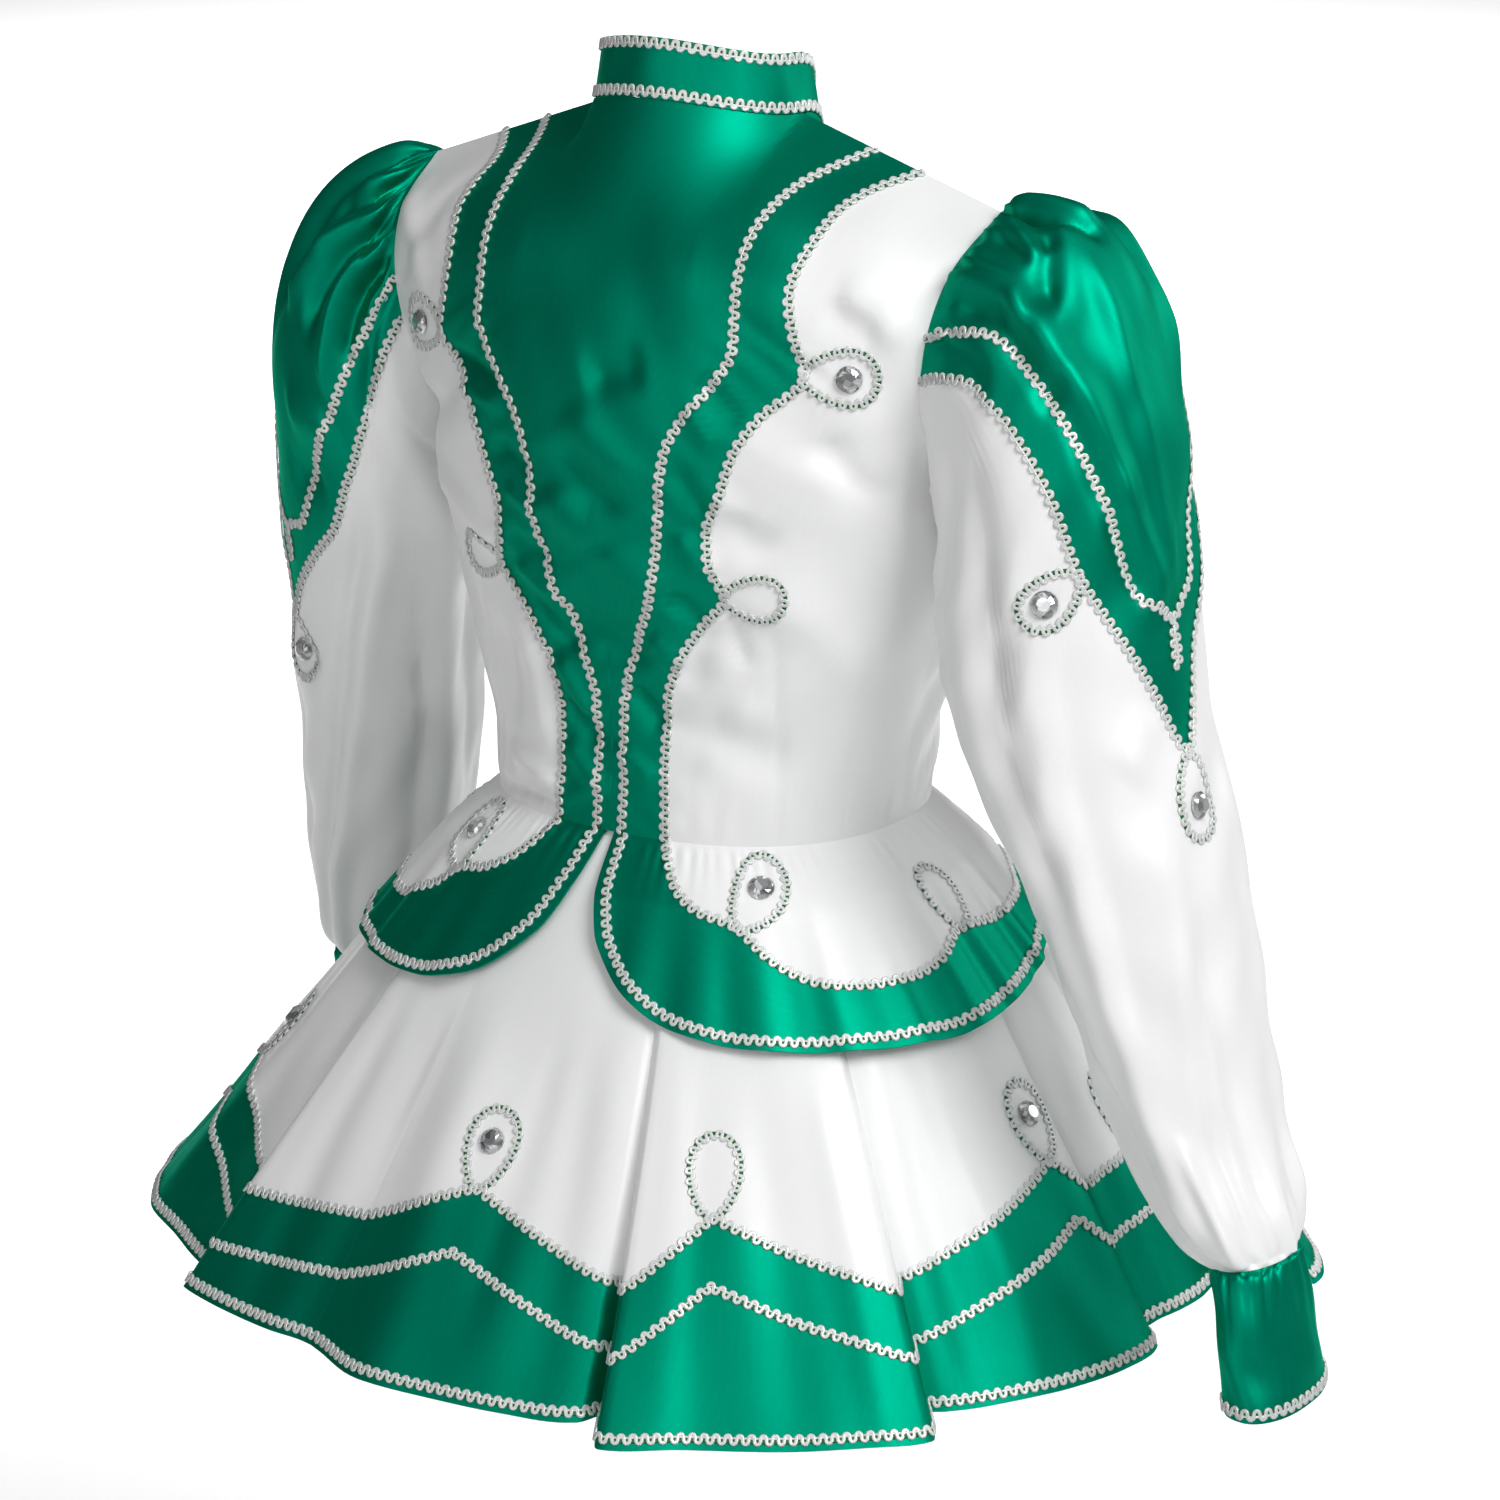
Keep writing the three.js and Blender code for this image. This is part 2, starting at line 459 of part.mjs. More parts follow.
function addPiece(name, geometry, material) {
  const mesh = new THREE.Mesh(geometry, material);
  mesh.name = name;
  geometry.computeVertexNormals();
  dress.add(mesh);
}

// A bodice panel between two seam lines, with its columns at the given shares of the way across.
function addBodicePanel(name, material, front, side, nearLine, farLine, shares) {
  const outer = [];
  const normals = [];
  for (const share of shares) {
    const across = BODICE_LEVELS.map((up) => side * mix(nearLine(up), farLine(up), share));
    outer.push(BODICE_LEVELS.map((up, j) => bodicePoint(across[j], up, front)));
    normals.push(BODICE_LEVELS.map((up, j) => bodiceInward(across[j], up, front)));
  }
  addPiece(name, clothWall(outer, normals), material);
}

function addBodice() {
  const inner = (up) => lineAcross(INNER_LINE, up);
  const outer = (up) => lineAcross(OUTER_LINE, up);
  const frontLine = (up) => lineAcross(FRONT_LINE, up);
  const centre = () => 0;
  const edge = () => 1;
  const neckShare = NECK.share / INNER_LINE[INNER_LINE.length - 1].across;
  const neckSteps = [1, 2, 3, 4, 5, 6].map((step) => step / 6);
  const half = [...neckSteps.map((step) => step * neckShare), (1 + neckShare) / 2, 1];
  const mirrored = half.map((share) => -share).reverse();
  addBodicePanel('back_centre', MATERIALS.green, false, 1, centre, inner, [...mirrored, 0, ...half]);
  const neckInFront = NECK.share / FRONT_LINE[FRONT_LINE.length - 1].across;
  const frontShares = [0, ...neckSteps.map((step) => step * neckInFront), 0.64, 0.8, 1];
  for (const [word, side] of [['left', 1], ['right', -1]]) {
    addBodicePanel(`back_band_${word}`, MATERIALS.green, false, side, inner, outer, [0, 0.5, 1]);
    addBodicePanel(`back_side_${word}`, MATERIALS.white, false, side, outer, edge, [0, 0.2, 0.4, 0.6, 0.8, 1]);
    addBodicePanel(`front_centre_${word}`, MATERIALS.green, true, side, centre, frontLine, frontShares);
    addBodicePanel(`front_side_${word}`, MATERIALS.white, true, side, frontLine, edge, [0, 0.25, 0.5, 0.75, 1]);
  }
}

// The stand collar: a band round the neck line, open at the centre front.
function addCollar() {
  const columns = 24;
  const outer = [];
  const normals = [];
  for (let i = 0; i <= columns; i += 1) {
    const turn = mix(-180, 180, i / columns);
    const front = Math.abs(turn) > 90;
    const across = (front ? 180 - Math.abs(turn) : Math.abs(turn)) / 90;
    const [x, y, z] = shoulderLine(across * NECK.share * 0.99999, front);
    const side = i < columns / 2 ? -1 : 1;
    const out = new THREE.Vector3(side * x, y, 0).normalize();
    outer.push([0, 0.5, 1].map((rise) => new THREE.Vector3(side * x, y, z + 0.5 + COLLAR_HEIGHT * rise)
      .addScaledVector(out, -COLLAR_LEAN * rise)));
    normals.push([0, 1, 2].map(() => out.clone()));
  }
  addPiece('collar', clothWall(outer, normals), MATERIALS.green);
}

// The peplum's lines between its rows: half steps of the smooth curves through them.
function peplumRow(place) {
  const places = PEPLUM_ROWS.map((_, i) => i);
  const value = (name) => smoothCurve(places, PEPLUM_ROWS.map((row) => row[name]), place);
  return {
    lineAngle: value('lineAngle'), lineDrop: value('lineDrop'),
    edgeAngle: value('edgeAngle'), edgeDrop: value('edgeDrop'),
  };
}

function addPeplum() {
  const rows = Array.from({ length: PEPLUM_ROWS.length * 2 - 1 }, (_, i) => peplumRow(i / 2));
  for (const [word, side] of [['left', -1], ['right', 1]]) {
    const at = (angle, drop) => [side * angle, drop];
    const border = rows.map((row) => [0, 0.5, 1].map((share) => at(
      mix(row.lineAngle, row.edgeAngle, share),
      mix(row.lineDrop, row.edgeDrop, share),
    )));
    // The first five rows run down one side of the upper panel, the others along its foot.
    const start = rows.slice(0, 5);
    const startDrops = start.map((row) => row.lineDrop / start[4].lineDrop);
    const upper = rows.slice(4).map((row, i) => startDrops.map((share, j) => {
      const angle = i === 0 ? start[j].lineAngle : mix(topAngle(row.lineAngle), row.lineAngle, share);
      return at(angle, row.lineDrop * share);
    }));
    for (const [part, grid, material] of [['border', border, MATERIALS.green], ['panel', upper, MATERIALS.white]]) {
      const outer = grid.map((column) => column.map(([angle, drop]) => peplumPoint(angle, drop)));
      const normals = grid.map((column) => column.map(([angle, drop]) => coneNormal(peplumPoint, angle, drop)));
      addPiece(`peplum_${part}_${word}`, clothWall(outer, normals), material);
    }
  }
}

// Where the column of the upper peplum panel that ends at an angle starts at the waist.
function topAngle(angle) {
  const first = PEPLUM_ROWS[2].lineAngle;
  return mix(PEPLUM_ROWS[0].lineAngle, 179.8, (angle - first) / (179.8 - first));
}

// How far down the green band begins, across one gore: it rises to a point and falls again.
function bandTop(index, across) {
  const gore = GORES[index];
  const next = GORES[(index + 1) % GORES.length];
  const end = index === GORES.length - 1 ? next.seam + 360 : next.seam;
  const peak = (gore.point - gore.seam) / (end - gore.seam);
  return across < peak
    ? mix(gore.bandAtSeam, gore.bandAtPoint, across / peak)
    : mix(gore.bandAtPoint, next.bandAtSeam, (across - peak) / (1 - peak));
}

function addSkirt() {
  const shares = [0, 0.022, 0.05, 0.1, 0.275, 0.5, 0.725, 0.9, 0.95, 0.978, 1];
  GORES.forEach((gore, index) => {
    const next = GORES[(index + 1) % GORES.length];
    const end = index === GORES.length - 1 ? next.seam + 360 : next.seam;
    const angles = shares.map((share) => mix(gore.seam, end, share));
    // Just inside each seam, so the fold's own side is measured.
    const inside = (share) => mix(gore.seam, end, Math.min(1 - 1e-4, Math.max(1e-4, share)));
    const piece = (name, material, from, to) => {
      const outer = [];
      const normals = [];
      shares.forEach((share, i) => {
        const top = bandTop(index, share);
        const drops = [from(top, 0), from(top, 1), from(top, 2), from(top, 3), from(top, 4)].slice(0, to);
        outer.push(drops.map((drop) => skirtPoint(angles[i], drop)));
        normals.push(drops.map((drop) => coneNormal(skirtPoint, inside(share), drop)));
      });
      addPiece(name, clothWall(outer, normals), material);
    };
    piece(`skirt_gore_${index + 1}`, MATERIALS.white, (top, row) => (top * row) / 4, 5);
    piece(`skirt_band_${index + 1}`, MATERIALS.green, (top, row) => mix(top, 1, row / 2), 3);
  });
}

function sleeveGrid(rows, side, grid, gather) {
  const outer = grid.map((column) => column.map(([row, angle]) => (
    sleevePoint(rows, side, row, angle, gather(row, angle)))));
  const normals = grid.map((column) => column.map(([row, angle]) => sleeveNormal(rows, side, row, angle)));
  return [outer, normals];
}

function addSleeve(word, side, rows, cuffRows) {
  const bothWays = (line) => [
    ...line.slice(1).map(({ angle, row }) => ({ angle: -angle, row })).reverse(), ...line];
  const capLine = bothWays(CAP_LINE);
  const bandLine = bothWays(BAND_LINE);
  const flat = () => 0;

  const capShares = [0, 0.1, 0.22, 0.4, 0.6, 0.8, 1];
  const cap = capLine.map(({ angle, row }) => capShares.map((share) => [row * share, angle]));
  const capHeight = (row, angle) => {
    const edge = smoothCurve(capLine.map((p) => p.angle), capLine.map((p) => p.row), angle);
    return capGather(row, angle) * clamp01((edge - row) / 1.2);
  };
  addPiece(`sleeve_cap_${word}`, clothWall(...sleeveGrid(rows, side, cap, capHeight)), MATERIALS.green);

  const band = capLine.map((near, i) => [0, 0.5, 1].map((share) => (
    [mix(near.row, bandLine[i].row, share), mix(near.angle, bandLine[i].angle, share)])));
  addPiece(`sleeve_band_${word}`, clothWall(...sleeveGrid(rows, side, band, flat)), MATERIALS.green);

  const step = 360 / SLEEVE_COLUMNS;
  const wrist = rows.length - 1;
  const lowerShares = [0, 0.12, 0.25, 0.4, 0.55, 0.7, 0.82, 0.92, 1];
  const lower = [];
  for (let i = 0; i < SLEEVE_COLUMNS; i += 1) {
    const angle = -180 + i * step;
    const edge = BAND_LINE.find((p) => Math.abs(p.angle - Math.abs(angle)) < 0.01);
    const start = edge ? edge.row : 0;
    lower.push(lowerShares.map((share) => [mix(start, wrist, share), angle]));
  }
  const [outer, normals] = sleeveGrid(rows, side, lower, wristGather);
  addPiece(`sleeve_lower_${word}`, clothWall(outer, normals, { tube: true }), MATERIALS.white);

  const cuff = [];
  for (let i = 0; i < SLEEVE_COLUMNS; i += 1) cuff.push(cuffRows.map((_, row) => [row, -180 + i * step]));
  const cuffPoint = (row, angle) => sleeveBase(cuffRows, row, angle);
  const cuffOuter = cuff.map((column) => column.map(([row, angle]) => cuffPoint(row, angle)));
  const cuffNormals = cuff.map((column) => column.map(([row, angle]) => {
    const middle = cuffPoint(row, 0).add(cuffPoint(row, 180)).multiplyScalar(0.5);
    const hint = cuffPoint(row, angle).sub(middle);
    return outward(cuffPoint, row, angle, 0.02, hint, { p: [0, cuffRows.length - 1], q: [-1e6, 1e6] });
  }));
  addPiece(`cuff_${word}`, clothWall(cuffOuter, cuffNormals, { tube: true }), MATERIALS.green);
}

addCollar();
addBodice();
addPeplum();
addSkirt();
addSleeve('right', -1, RIGHT_SLEEVE, RIGHT_CUFF);
addSleeve('left', 1, LEFT_SLEEVE, LEFT_CUFF);

export default dress;
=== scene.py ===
"""Majorette dress in green and white satin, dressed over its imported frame.

The wearer faces -Y, their left side is at +X and the neck is at the origin. The tables of forms are in
millimetres and whole degrees, as a pattern cutter writes them, and MM turns them into metres.
"""

import math

import bpy
import numpy as np
from mathutils import Matrix, Vector


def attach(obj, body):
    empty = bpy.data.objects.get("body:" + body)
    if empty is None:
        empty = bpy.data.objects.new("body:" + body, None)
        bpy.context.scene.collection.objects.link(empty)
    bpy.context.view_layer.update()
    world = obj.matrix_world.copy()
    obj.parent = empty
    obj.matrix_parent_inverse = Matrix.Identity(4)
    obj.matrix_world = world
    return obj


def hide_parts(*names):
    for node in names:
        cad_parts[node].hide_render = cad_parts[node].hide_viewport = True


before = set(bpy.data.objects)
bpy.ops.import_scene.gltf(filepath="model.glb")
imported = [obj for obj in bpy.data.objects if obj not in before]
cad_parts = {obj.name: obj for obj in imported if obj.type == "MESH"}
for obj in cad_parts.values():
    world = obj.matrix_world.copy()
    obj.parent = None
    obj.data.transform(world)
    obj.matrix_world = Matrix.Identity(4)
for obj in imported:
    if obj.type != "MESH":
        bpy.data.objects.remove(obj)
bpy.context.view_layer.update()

MM = 0.001
CLOTH = 1.5 * MM          # satin with its interfacing, as the shells show it at their edges
WAIST_Z = -392
HEM_Z = -661
WAIST_HALF_WIDTH = 126
WAIST_HALF_DEPTH = 103
HEM_HALF_WIDTH = 366
HEM_HALF_DEPTH = 290
HIP_FULLNESS = 0.86
COLLAR_HEIGHT = 32
COLLAR_LEAN = 5
PEPLUM_LIFT = 8
SKIRT_TUCK = 4.2
SEAM_SHARE = 0.05         # how much of a gore's width the steep side of a flute takes
NECK_SIDE = 63
NECK_SHARE = 0.36
SHOULDER_TIP = (189, 1, -42)

BRAID_WAVE = 6.3 * MM     # one left and right turn of the scroll braid
BRAID_SWING = 2.35 * MM
BRAID_CORD = 1.15 * MM
BRAID_HEIGHT = 1.3 * MM
BRAID_STEPS = 12
STRIP_STEP = 3.2 * MM     # spacing of the points of the strips beside the scroll
MIDDLE_BRAID = 0.112      # how far down the skirt the second braid lies below the first
HEM_BRAID = 0.982
CUFF_BRAID = 2.86         # the row of the cuff's rings that carries its braid
COLLAR_BRAIDS = (0.10, 0.90)
CENTRE_GAP = 0.027        # the inner lines' braids keep this far from the centre back
ARMHOLE_GAP = 0.04        # and the sleeve lines' braids this many rows from the armhole
CLOTH_GAP = 1e-4          # degrees that a gore's sheets keep from its seams
BRAID_GAP = 0.05          # and that its braids keep
LOOP_SIZE = 0.92          # the loops' braid against the seams' braid
STONE_RADIUS = 7.3 * MM
STONE_SIDES = 16
CAP_EDGE = 74             # degrees round the sleeve from a line's tip to the armhole: the cap's line
BAND_EDGE = 90            # and the band's
SLEEVE_END = 11           # the last row of the sleeve's rings, at the cuff
CUFF_END = 3
PEPLUM_CORNER = 2         # the row of the peplum's table at the white panel's lower corner
PEPLUM_END = 16
GORE_COUNT = 12
PLAIN_GORE = 10           # the gore without a loop at its point


# ---------------------------------------------------------------- forms of the dress

def rows_of(names, lines):
    """A table as a dictionary of columns."""
    columns = np.array(lines, float).T
    return dict(zip(names.split(), columns))


HALF_ROWS = "up mid_z mid_y edge_x edge_y edge_z turn full"
BACK_ROWS = rows_of(HALF_ROWS, [
    (0.00, -392, 103, 126, 0, -392, 90, 0.86),
    (0.14, -340, 99, 134, 0, -340, 90, 0.86),
    (0.34, -265, 106, 154, 0, -265, 90, 0.88),
    (0.50, -205, 115, 170, 0, -210, 88, 0.92),
    (0.62, -160, 118, 170, 42, -163, 66, 1),
    (0.78, -100, 110, 176, 58, -112, 50, 1),
    (0.91, -45, 88, 184, 40, -66, 38, 1),
])
FRONT_ROWS = rows_of(HALF_ROWS, [
    (0.00, -392, -103, 126, 0, -392, 90, 0.86),
    (0.14, -340, -106, 134, 0, -340, 90, 0.86),
    (0.34, -265, -126, 154, 0, -265, 90, 0.88),
    (0.50, -215, -128, 170, 0, -210, 88, 0.92),
    (0.62, -175, -118, 156, -36, -165, 72, 1),
    (0.78, -125, -98, 160, -38, -112, 60, 1),
    (0.91, -82, -78, 177, -22, -66, 42, 1),
])
INNER_LINE = rows_of("up across", [
    (0.00, 0.008), (0.14, 0.012), (0.22, 0.032), (0.30, 0.065), (0.38, 0.115), (0.455, 0.135),
    (0.53, 0.155), (0.60, 0.220), (0.65, 0.285), (0.71, 0.380), (0.76, 0.430), (0.88, 0.430),
    (0.95, 0.475), (1.00, 0.600),
])
OUTER_LINE = rows_of("up across", [
    (0.00, 0.150), (0.12, 0.136), (0.20, 0.137), (0.28, 0.172), (0.34, 0.235), (0.385, 0.290),
    (0.42, 0.262), (0.48, 0.250), (0.55, 0.320), (0.60, 0.400), (0.66, 0.500), (0.73, 0.635),
    (0.79, 0.605), (0.85, 0.585), (0.90, 0.600), (0.95, 0.630), (1.00, 0.750),
])
FRONT_LINE = rows_of("up across", [
    (0.0, 0.30), (0.2, 0.33), (0.4, 0.42), (0.6, 0.50), (0.8, 0.58), (1.0, 0.75),
])
PEPLUM_ROWS = rows_of("line_angle line_drop edge_angle edge_drop", [
    (13.5, 0, 0.8, 0), (15.5, 0.03, 1.8, 0.083), (18.5, 0.075, 3.4, 0.145), (24, 0.108, 5.6, 0.195),
    (32, 0.13, 11.2, 0.262), (38, 0.18, 19, 0.308), (44.5, 0.214, 30, 0.332), (52, 0.232, 43, 0.338),
    (63, 0.234, 57, 0.34), (75, 0.218, 71, 0.34), (85, 0.18, 84, 0.325), (95, 0.19, 96, 0.298),
    (108, 0.185, 108, 0.27), (124, 0.165, 124, 0.25), (142, 0.145, 142, 0.235), (161, 0.135, 161, 0.228),
    (179.8, 0.13, 179.8, 0.225),
])
GORE_NAMES = "seam valley one two three four five band_at_seam point band_at_point"
GORES = rows_of(GORE_NAMES, [
    (17, -22, 17, 5, 0, -5, -11, 0.768, 27.4, 0.626), (50, -46, -45, -48, -50, -52, -59, 0.762, 81, 0.617),
    (88, -82, -79, -75, -68, -61, -56, 0.715, 105, 0.69), (110, -54, 0, 6, 7, 2, -4, 0.745, 123, 0.63),
    (136, -34, 2, 8, 5, 0, -6, 0.76, 150, 0.636), (165, -32, 4, 6, 1, 2, -2, 0.76, 180, 0.636),
    (194, -36, 2, 4, 8, 1, -6, 0.76, 208, 0.636), (223, -42, -10, -20, -28, -32, -34, 0.76, 237, 0.636),
    (252, -54, -32, -26, -18, -12, -8, 0.76, 268, 0.636), (284, -30, -8, -4, 0, -10, -13, 0.76, 301, 0.655),
    (327, -16, 8, 5, 1, -3, -8, 0.8, 337, 0.773), (346, -8, -6, 5, 1, -2.5, -9, 0.757, 359.2, 0.645),
])
RINGS = "out_x out_z in_x in_z mid_y half turn"
SLEEVE_ROWS = {
    "right": rows_of(RINGS, [
        (-189, -42, -170, -210, 10, 50, 0), (-208, -34, -172, -214, 8, 60, 2),
        (-240, -36, -173, -222, 8, 68, 3), (-272, -68, -175, -240, 10, 73, 4),
        (-296, -135, -178, -262, 14, 76, 5), (-307, -210, -185, -292, 18, 77, 6),
        (-321, -290, -206, -333, 26, 75, 6), (-344, -362, -246, -388, 36, 68, 6),
        (-364, -430, -277, -442, 46, 60, 6), (-386, -498, -312, -504, 56, 51, 6),
        (-409, -543, -349, -555, 67, 41, 6), (-413, -561, -373, -568, 73, 28, 6),
    ]),
    "left": rows_of(RINGS, [
        (189, -42, 170, -210, 10, 50, 0), (205, -42, 172, -214, 8, 60, 22),
        (236, -56, 173, -222, 6, 68, 36), (270, -92, 175, -240, 4, 73, 48),
        (293, -150, 179, -262, -2, 73, 58), (302, -220, 188, -290, -10, 70, 64),
        (312, -295, 204, -330, -22, 63, 66), (326, -370, 216, -392, -38, 57, 66),
        (342, -442, 237, -455, -58, 53, 66), (360, -510, 262, -516, -80, 49, 66),
        (373, -566, 288, -570, -102, 42, 66), (376, -592, 314, -597, -118, 30, 66),
    ]),
}
CUFF_ROWS = {
    "right": rows_of(RINGS, [
        (-413, -561.2, -373, -568.2, 73, 28, 6), (-417, -569, -375, -575, 74, 34, 6),
        (-425, -604, -384, -606, 77, 39, 6), (-433, -637, -392, -637, 80, 42, 6),
    ]),
    "left": rows_of(RINGS, [
        (376, -592.2, 314, -597.2, -118, 30, 66), (381, -600, 313, -604, -121, 34, 66),
        (391, -630, 322, -633, -135, 36, 66), (400, -660, 332, -662, -150, 38, 66),
    ]),
}
CAP_LINE = rows_of("angle row", [
    (0, 5.38), (9, 5.27), (20, 5.09), (28, 4.60), (38, 4.05), (48, 3.45), (57, 2.80), (66, 1.60), (74, 0),
])
BAND_LINE = rows_of("angle row", [
    (0, 6.25), (11.25, 5.90), (22.5, 5.55), (33.75, 5.20), (45, 4.78), (56.25, 4.00), (67.5, 3.25),
    (78.75, 2.20), (90, 0),
])


def smooth_curve(places, values, at):
    """The smooth curve through values at places: a cubic between neighbours whose slopes are the
    distance-weighted means of both sides, and level where the values turn back."""
    values = np.asarray(values, float)
    at = np.asarray(at, float)
    spread = (-1,) + (1,) * (values.ndim - 1)
    gaps = np.diff(places).reshape(spread)
    slopes = np.diff(values, axis=0) / gaps
    before, after = slopes[:-1], slopes[1:]
    mean = (before * gaps[1:] + after * gaps[:-1]) / (gaps[1:] + gaps[:-1])
    most = 3 * np.minimum(abs(before), abs(after))
    inner = np.where(before * after <= 0, 0, np.sign(mean) * np.minimum(abs(mean), most))
    tangents = np.concatenate([slopes[:1], inner, slopes[-1:]])
    i = np.clip(np.searchsorted(places, at, side="left") - 1, 0, len(places) - 2)
    span = np.diff(places)[i]
    t = np.clip((at - np.asarray(places)[i]) / span, 0, 1)
    if values.ndim == 1:
        low, high, go, come = values[i], values[i + 1], tangents[i], tangents[i + 1]
    else:
        pick = lambda table, k: np.take_along_axis(table, k[None], axis=0)[0]
        low, high = pick(values, i), pick(values, i + 1)
        go, come = pick(tangents, i), pick(tangents, i + 1)
    t2, t3 = t * t, t * t * t
    return ((2 * t3 - 3 * t2 + 1) * low + (t3 - 2 * t2 + t) * span * go
            + (3 * t2 - 2 * t3) * high + (t3 - t2) * span * come)


def smoothstep(low, high, x):
    """0 below low, 1 above high, and 3t squared - 2t cubed between."""
    t = np.clip((x - low) / (high - low), 0, 1)
    return t * t * (3 - 2 * t)


def shoulder_line(share, front):
    """An oval arc round the neck to NECK_SHARE, then the straight shoulder seam to its tip."""
    depth, mid_z, side = (62, -42, -1) if front else (61, 11, 1)
    turn = np.clip(share / NECK_SHARE, 0, 1) * math.pi / 2
    rise = np.sin(turn) ** 2
    along = np.clip((share - NECK_SHARE) / (1 - NECK_SHARE), 0, 1)
    x = NECK_SIDE * np.sin(turn) + (SHOULDER_TIP[0] - NECK_SIDE) * along
    y = side * depth * np.cos(turn) + SHOULDER_TIP[1] * along
    z = mid_z * (1 - rise) + SHOULDER_TIP[2] * along
    return x, y, z


def bodice(across, up, front):
    """Each level is part of an oval from centre line to side seam; the levels are joined upwards by
    smooth curves that end in the shoulder line. Across is signed: + is the wearer's left."""
    rows = FRONT_ROWS if front else BACK_ROWS
    across, up = np.broadcast_arrays(np.asarray(across, float), np.asarray(up, float))
    share = np.clip(abs(across), 0, 1)
    col = {k: v.reshape((-1,) + (1,) * share.ndim) for k, v in rows.items()}
    whole = np.radians(col["turn"])
    sideways = (np.sin(share * whole) / np.sin(whole)) ** col["full"]
    back = np.maximum(0, (np.cos(share * whole) - np.cos(whole)) / (1 - np.cos(whole))) ** col["full"]
    top = shoulder_line(share, front)
    x = np.concatenate([col["edge_x"] * sideways, top[0][None]])
    y = np.concatenate([col["edge_y"] + (col["mid_y"] - col["edge_y"]) * back, top[1][None]])
    z = np.concatenate([col["edge_z"] + (col["mid_z"] - col["edge_z"]) * back, top[2][None]])
    places = np.append(rows["up"], 1)
    point = [smooth_curve(places, v, up) for v in (x, y, z)]
    point[0] = np.where(across < 0, -point[0], point[0])
    return np.stack(point, -1) * MM


GORE_ENDS = np.append(GORES["seam"], GORES["seam"][0] + 360)


def gore_at(angle):
    """Index of the gore that holds an angle, and how far across it the angle lies."""
    turned = (angle - GORE_ENDS[0]) % 360 + GORE_ENDS[0]
    index = np.clip(np.searchsorted(GORE_ENDS, turned, side="right") - 1, 0, GORE_COUNT - 1)
    return index, (turned - GORE_ENDS[index]) / (GORE_ENDS[index + 1] - GORE_ENDS[index])


def cone(angle, drop, lift):
    """The cone from waist to hem: angle from centre back towards the wearer's right, drop 0 to 1, and
    lift in millimetres added to both half axes. It is squarer at the waist than at the hem."""
    sine, cosine = np.sin(np.radians(angle)), np.cos(np.radians(angle))
    full = HIP_FULLNESS + (1 - HIP_FULLNESS) * np.clip(drop, 0, 1)
    width = WAIST_HALF_WIDTH + (HEM_HALF_WIDTH - WAIST_HALF_WIDTH) * drop + lift
    depth = WAIST_HALF_DEPTH + (HEM_HALF_DEPTH - WAIST_HALF_DEPTH) * drop + lift
    x = -width * np.sign(sine) * abs(sine) ** full
    y = depth * np.sign(cosine) * abs(cosine) ** full
    z = WAIST_Z + (HEM_Z - WAIST_Z) * drop
    return np.stack([x, y, z], -1) * MM


FLUTE_PLACES = np.array([0, SEAM_SHARE, 0.275, 0.5, 0.725, 1 - SEAM_SHARE, 1])


def flute(angle, drop):
    """Millimetres in or out: a smooth curve from valley to valley through each gore's five places,
    growing towards the hem."""
    index, across = gore_at(angle)
    levels = [GORES[name][index] for name in GORE_NAMES.split()[1:7]]
    levels.append(GORES["valley"][(index + 1) % GORE_COUNT])
    return smooth_curve(FLUTE_PLACES, np.stack(levels), across) * np.clip((drop - 0.15) / 0.85, 0, 1) ** 1.2


def ring_point(rows, row, angle):
    """A tilted oval ring, turned by its row's turn: angle 0 starts as its outer side, 90 as its back."""
    row, angle = np.broadcast_arrays(np.asarray(row, float), np.asarray(angle, float))
    places = np.arange(len(rows["half"]))
    value = {k: smooth_curve(places, v, row) for k, v in rows.items()}
    turned = np.radians(angle + value["turn"])
    cosine, sine = np.cos(turned), np.sin(turned)
    x = (value["out_x"] + value["in_x"]) / 2 + (value["out_x"] - value["in_x"]) / 2 * cosine
    z = (value["out_z"] + value["in_z"]) / 2 + (value["out_z"] - value["in_z"]) / 2 * cosine
    return np.stack([x, value["mid_y"] + value["half"] * sine, z], -1) * MM


ARMHOLE_UPS = np.linspace(0.5, 1, 60)
ARMHOLE = {front: bodice(np.ones(60), ARMHOLE_UPS, front) for front in (False, True)}


def armhole(side, angle):
    """The bodice's armhole edge at the height of a sleeve ring's point."""
    low, high = BACK_ROWS["edge_z"][3], SHOULDER_TIP[2]
    height = (low + (high - low) * (1 + np.cos(np.radians(angle))) / 2) * MM
    edge = [np.interp(height, ARMHOLE[front][:, 2], ARMHOLE[front][:, k]) for front in (False, True)
            for k in (0, 1)]
    front = angle < 0
    return np.stack([side * np.where(front, edge[2], edge[0]), np.where(front, edge[3], edge[1]), height], -1)


def sleeve_form(side_name, row, angle):
    """The sleeve's rings, led into the armhole edge over the first row."""
    rows = SLEEVE_ROWS[side_name]
    row, angle = np.broadcast_arrays(np.asarray(row, float), np.asarray(angle, float))
    side = -1 if side_name == "right" else 1
    settle = 1 - smoothstep(0, 1, row)
    away = armhole(side, angle) - ring_point(rows, np.zeros_like(row), angle)
    return ring_point(rows, row, angle) + away * settle[..., None]


# ---------------------------------------------------------------- folds
# Each term of a folded function starts with its height in millimetres. The places given to uneven and
# rumple count in waves, and the whole number after them is the seed.

def edge_lengths(points, axis):
    """Distances travelled along the rows or columns of a grid."""
    steps = np.linalg.norm(np.diff(points, axis=axis), axis=-1)
    start = np.zeros_like(np.take(steps, [0], axis=axis))
    return np.concatenate([start, np.cumsum(steps, axis=axis)], axis=axis)


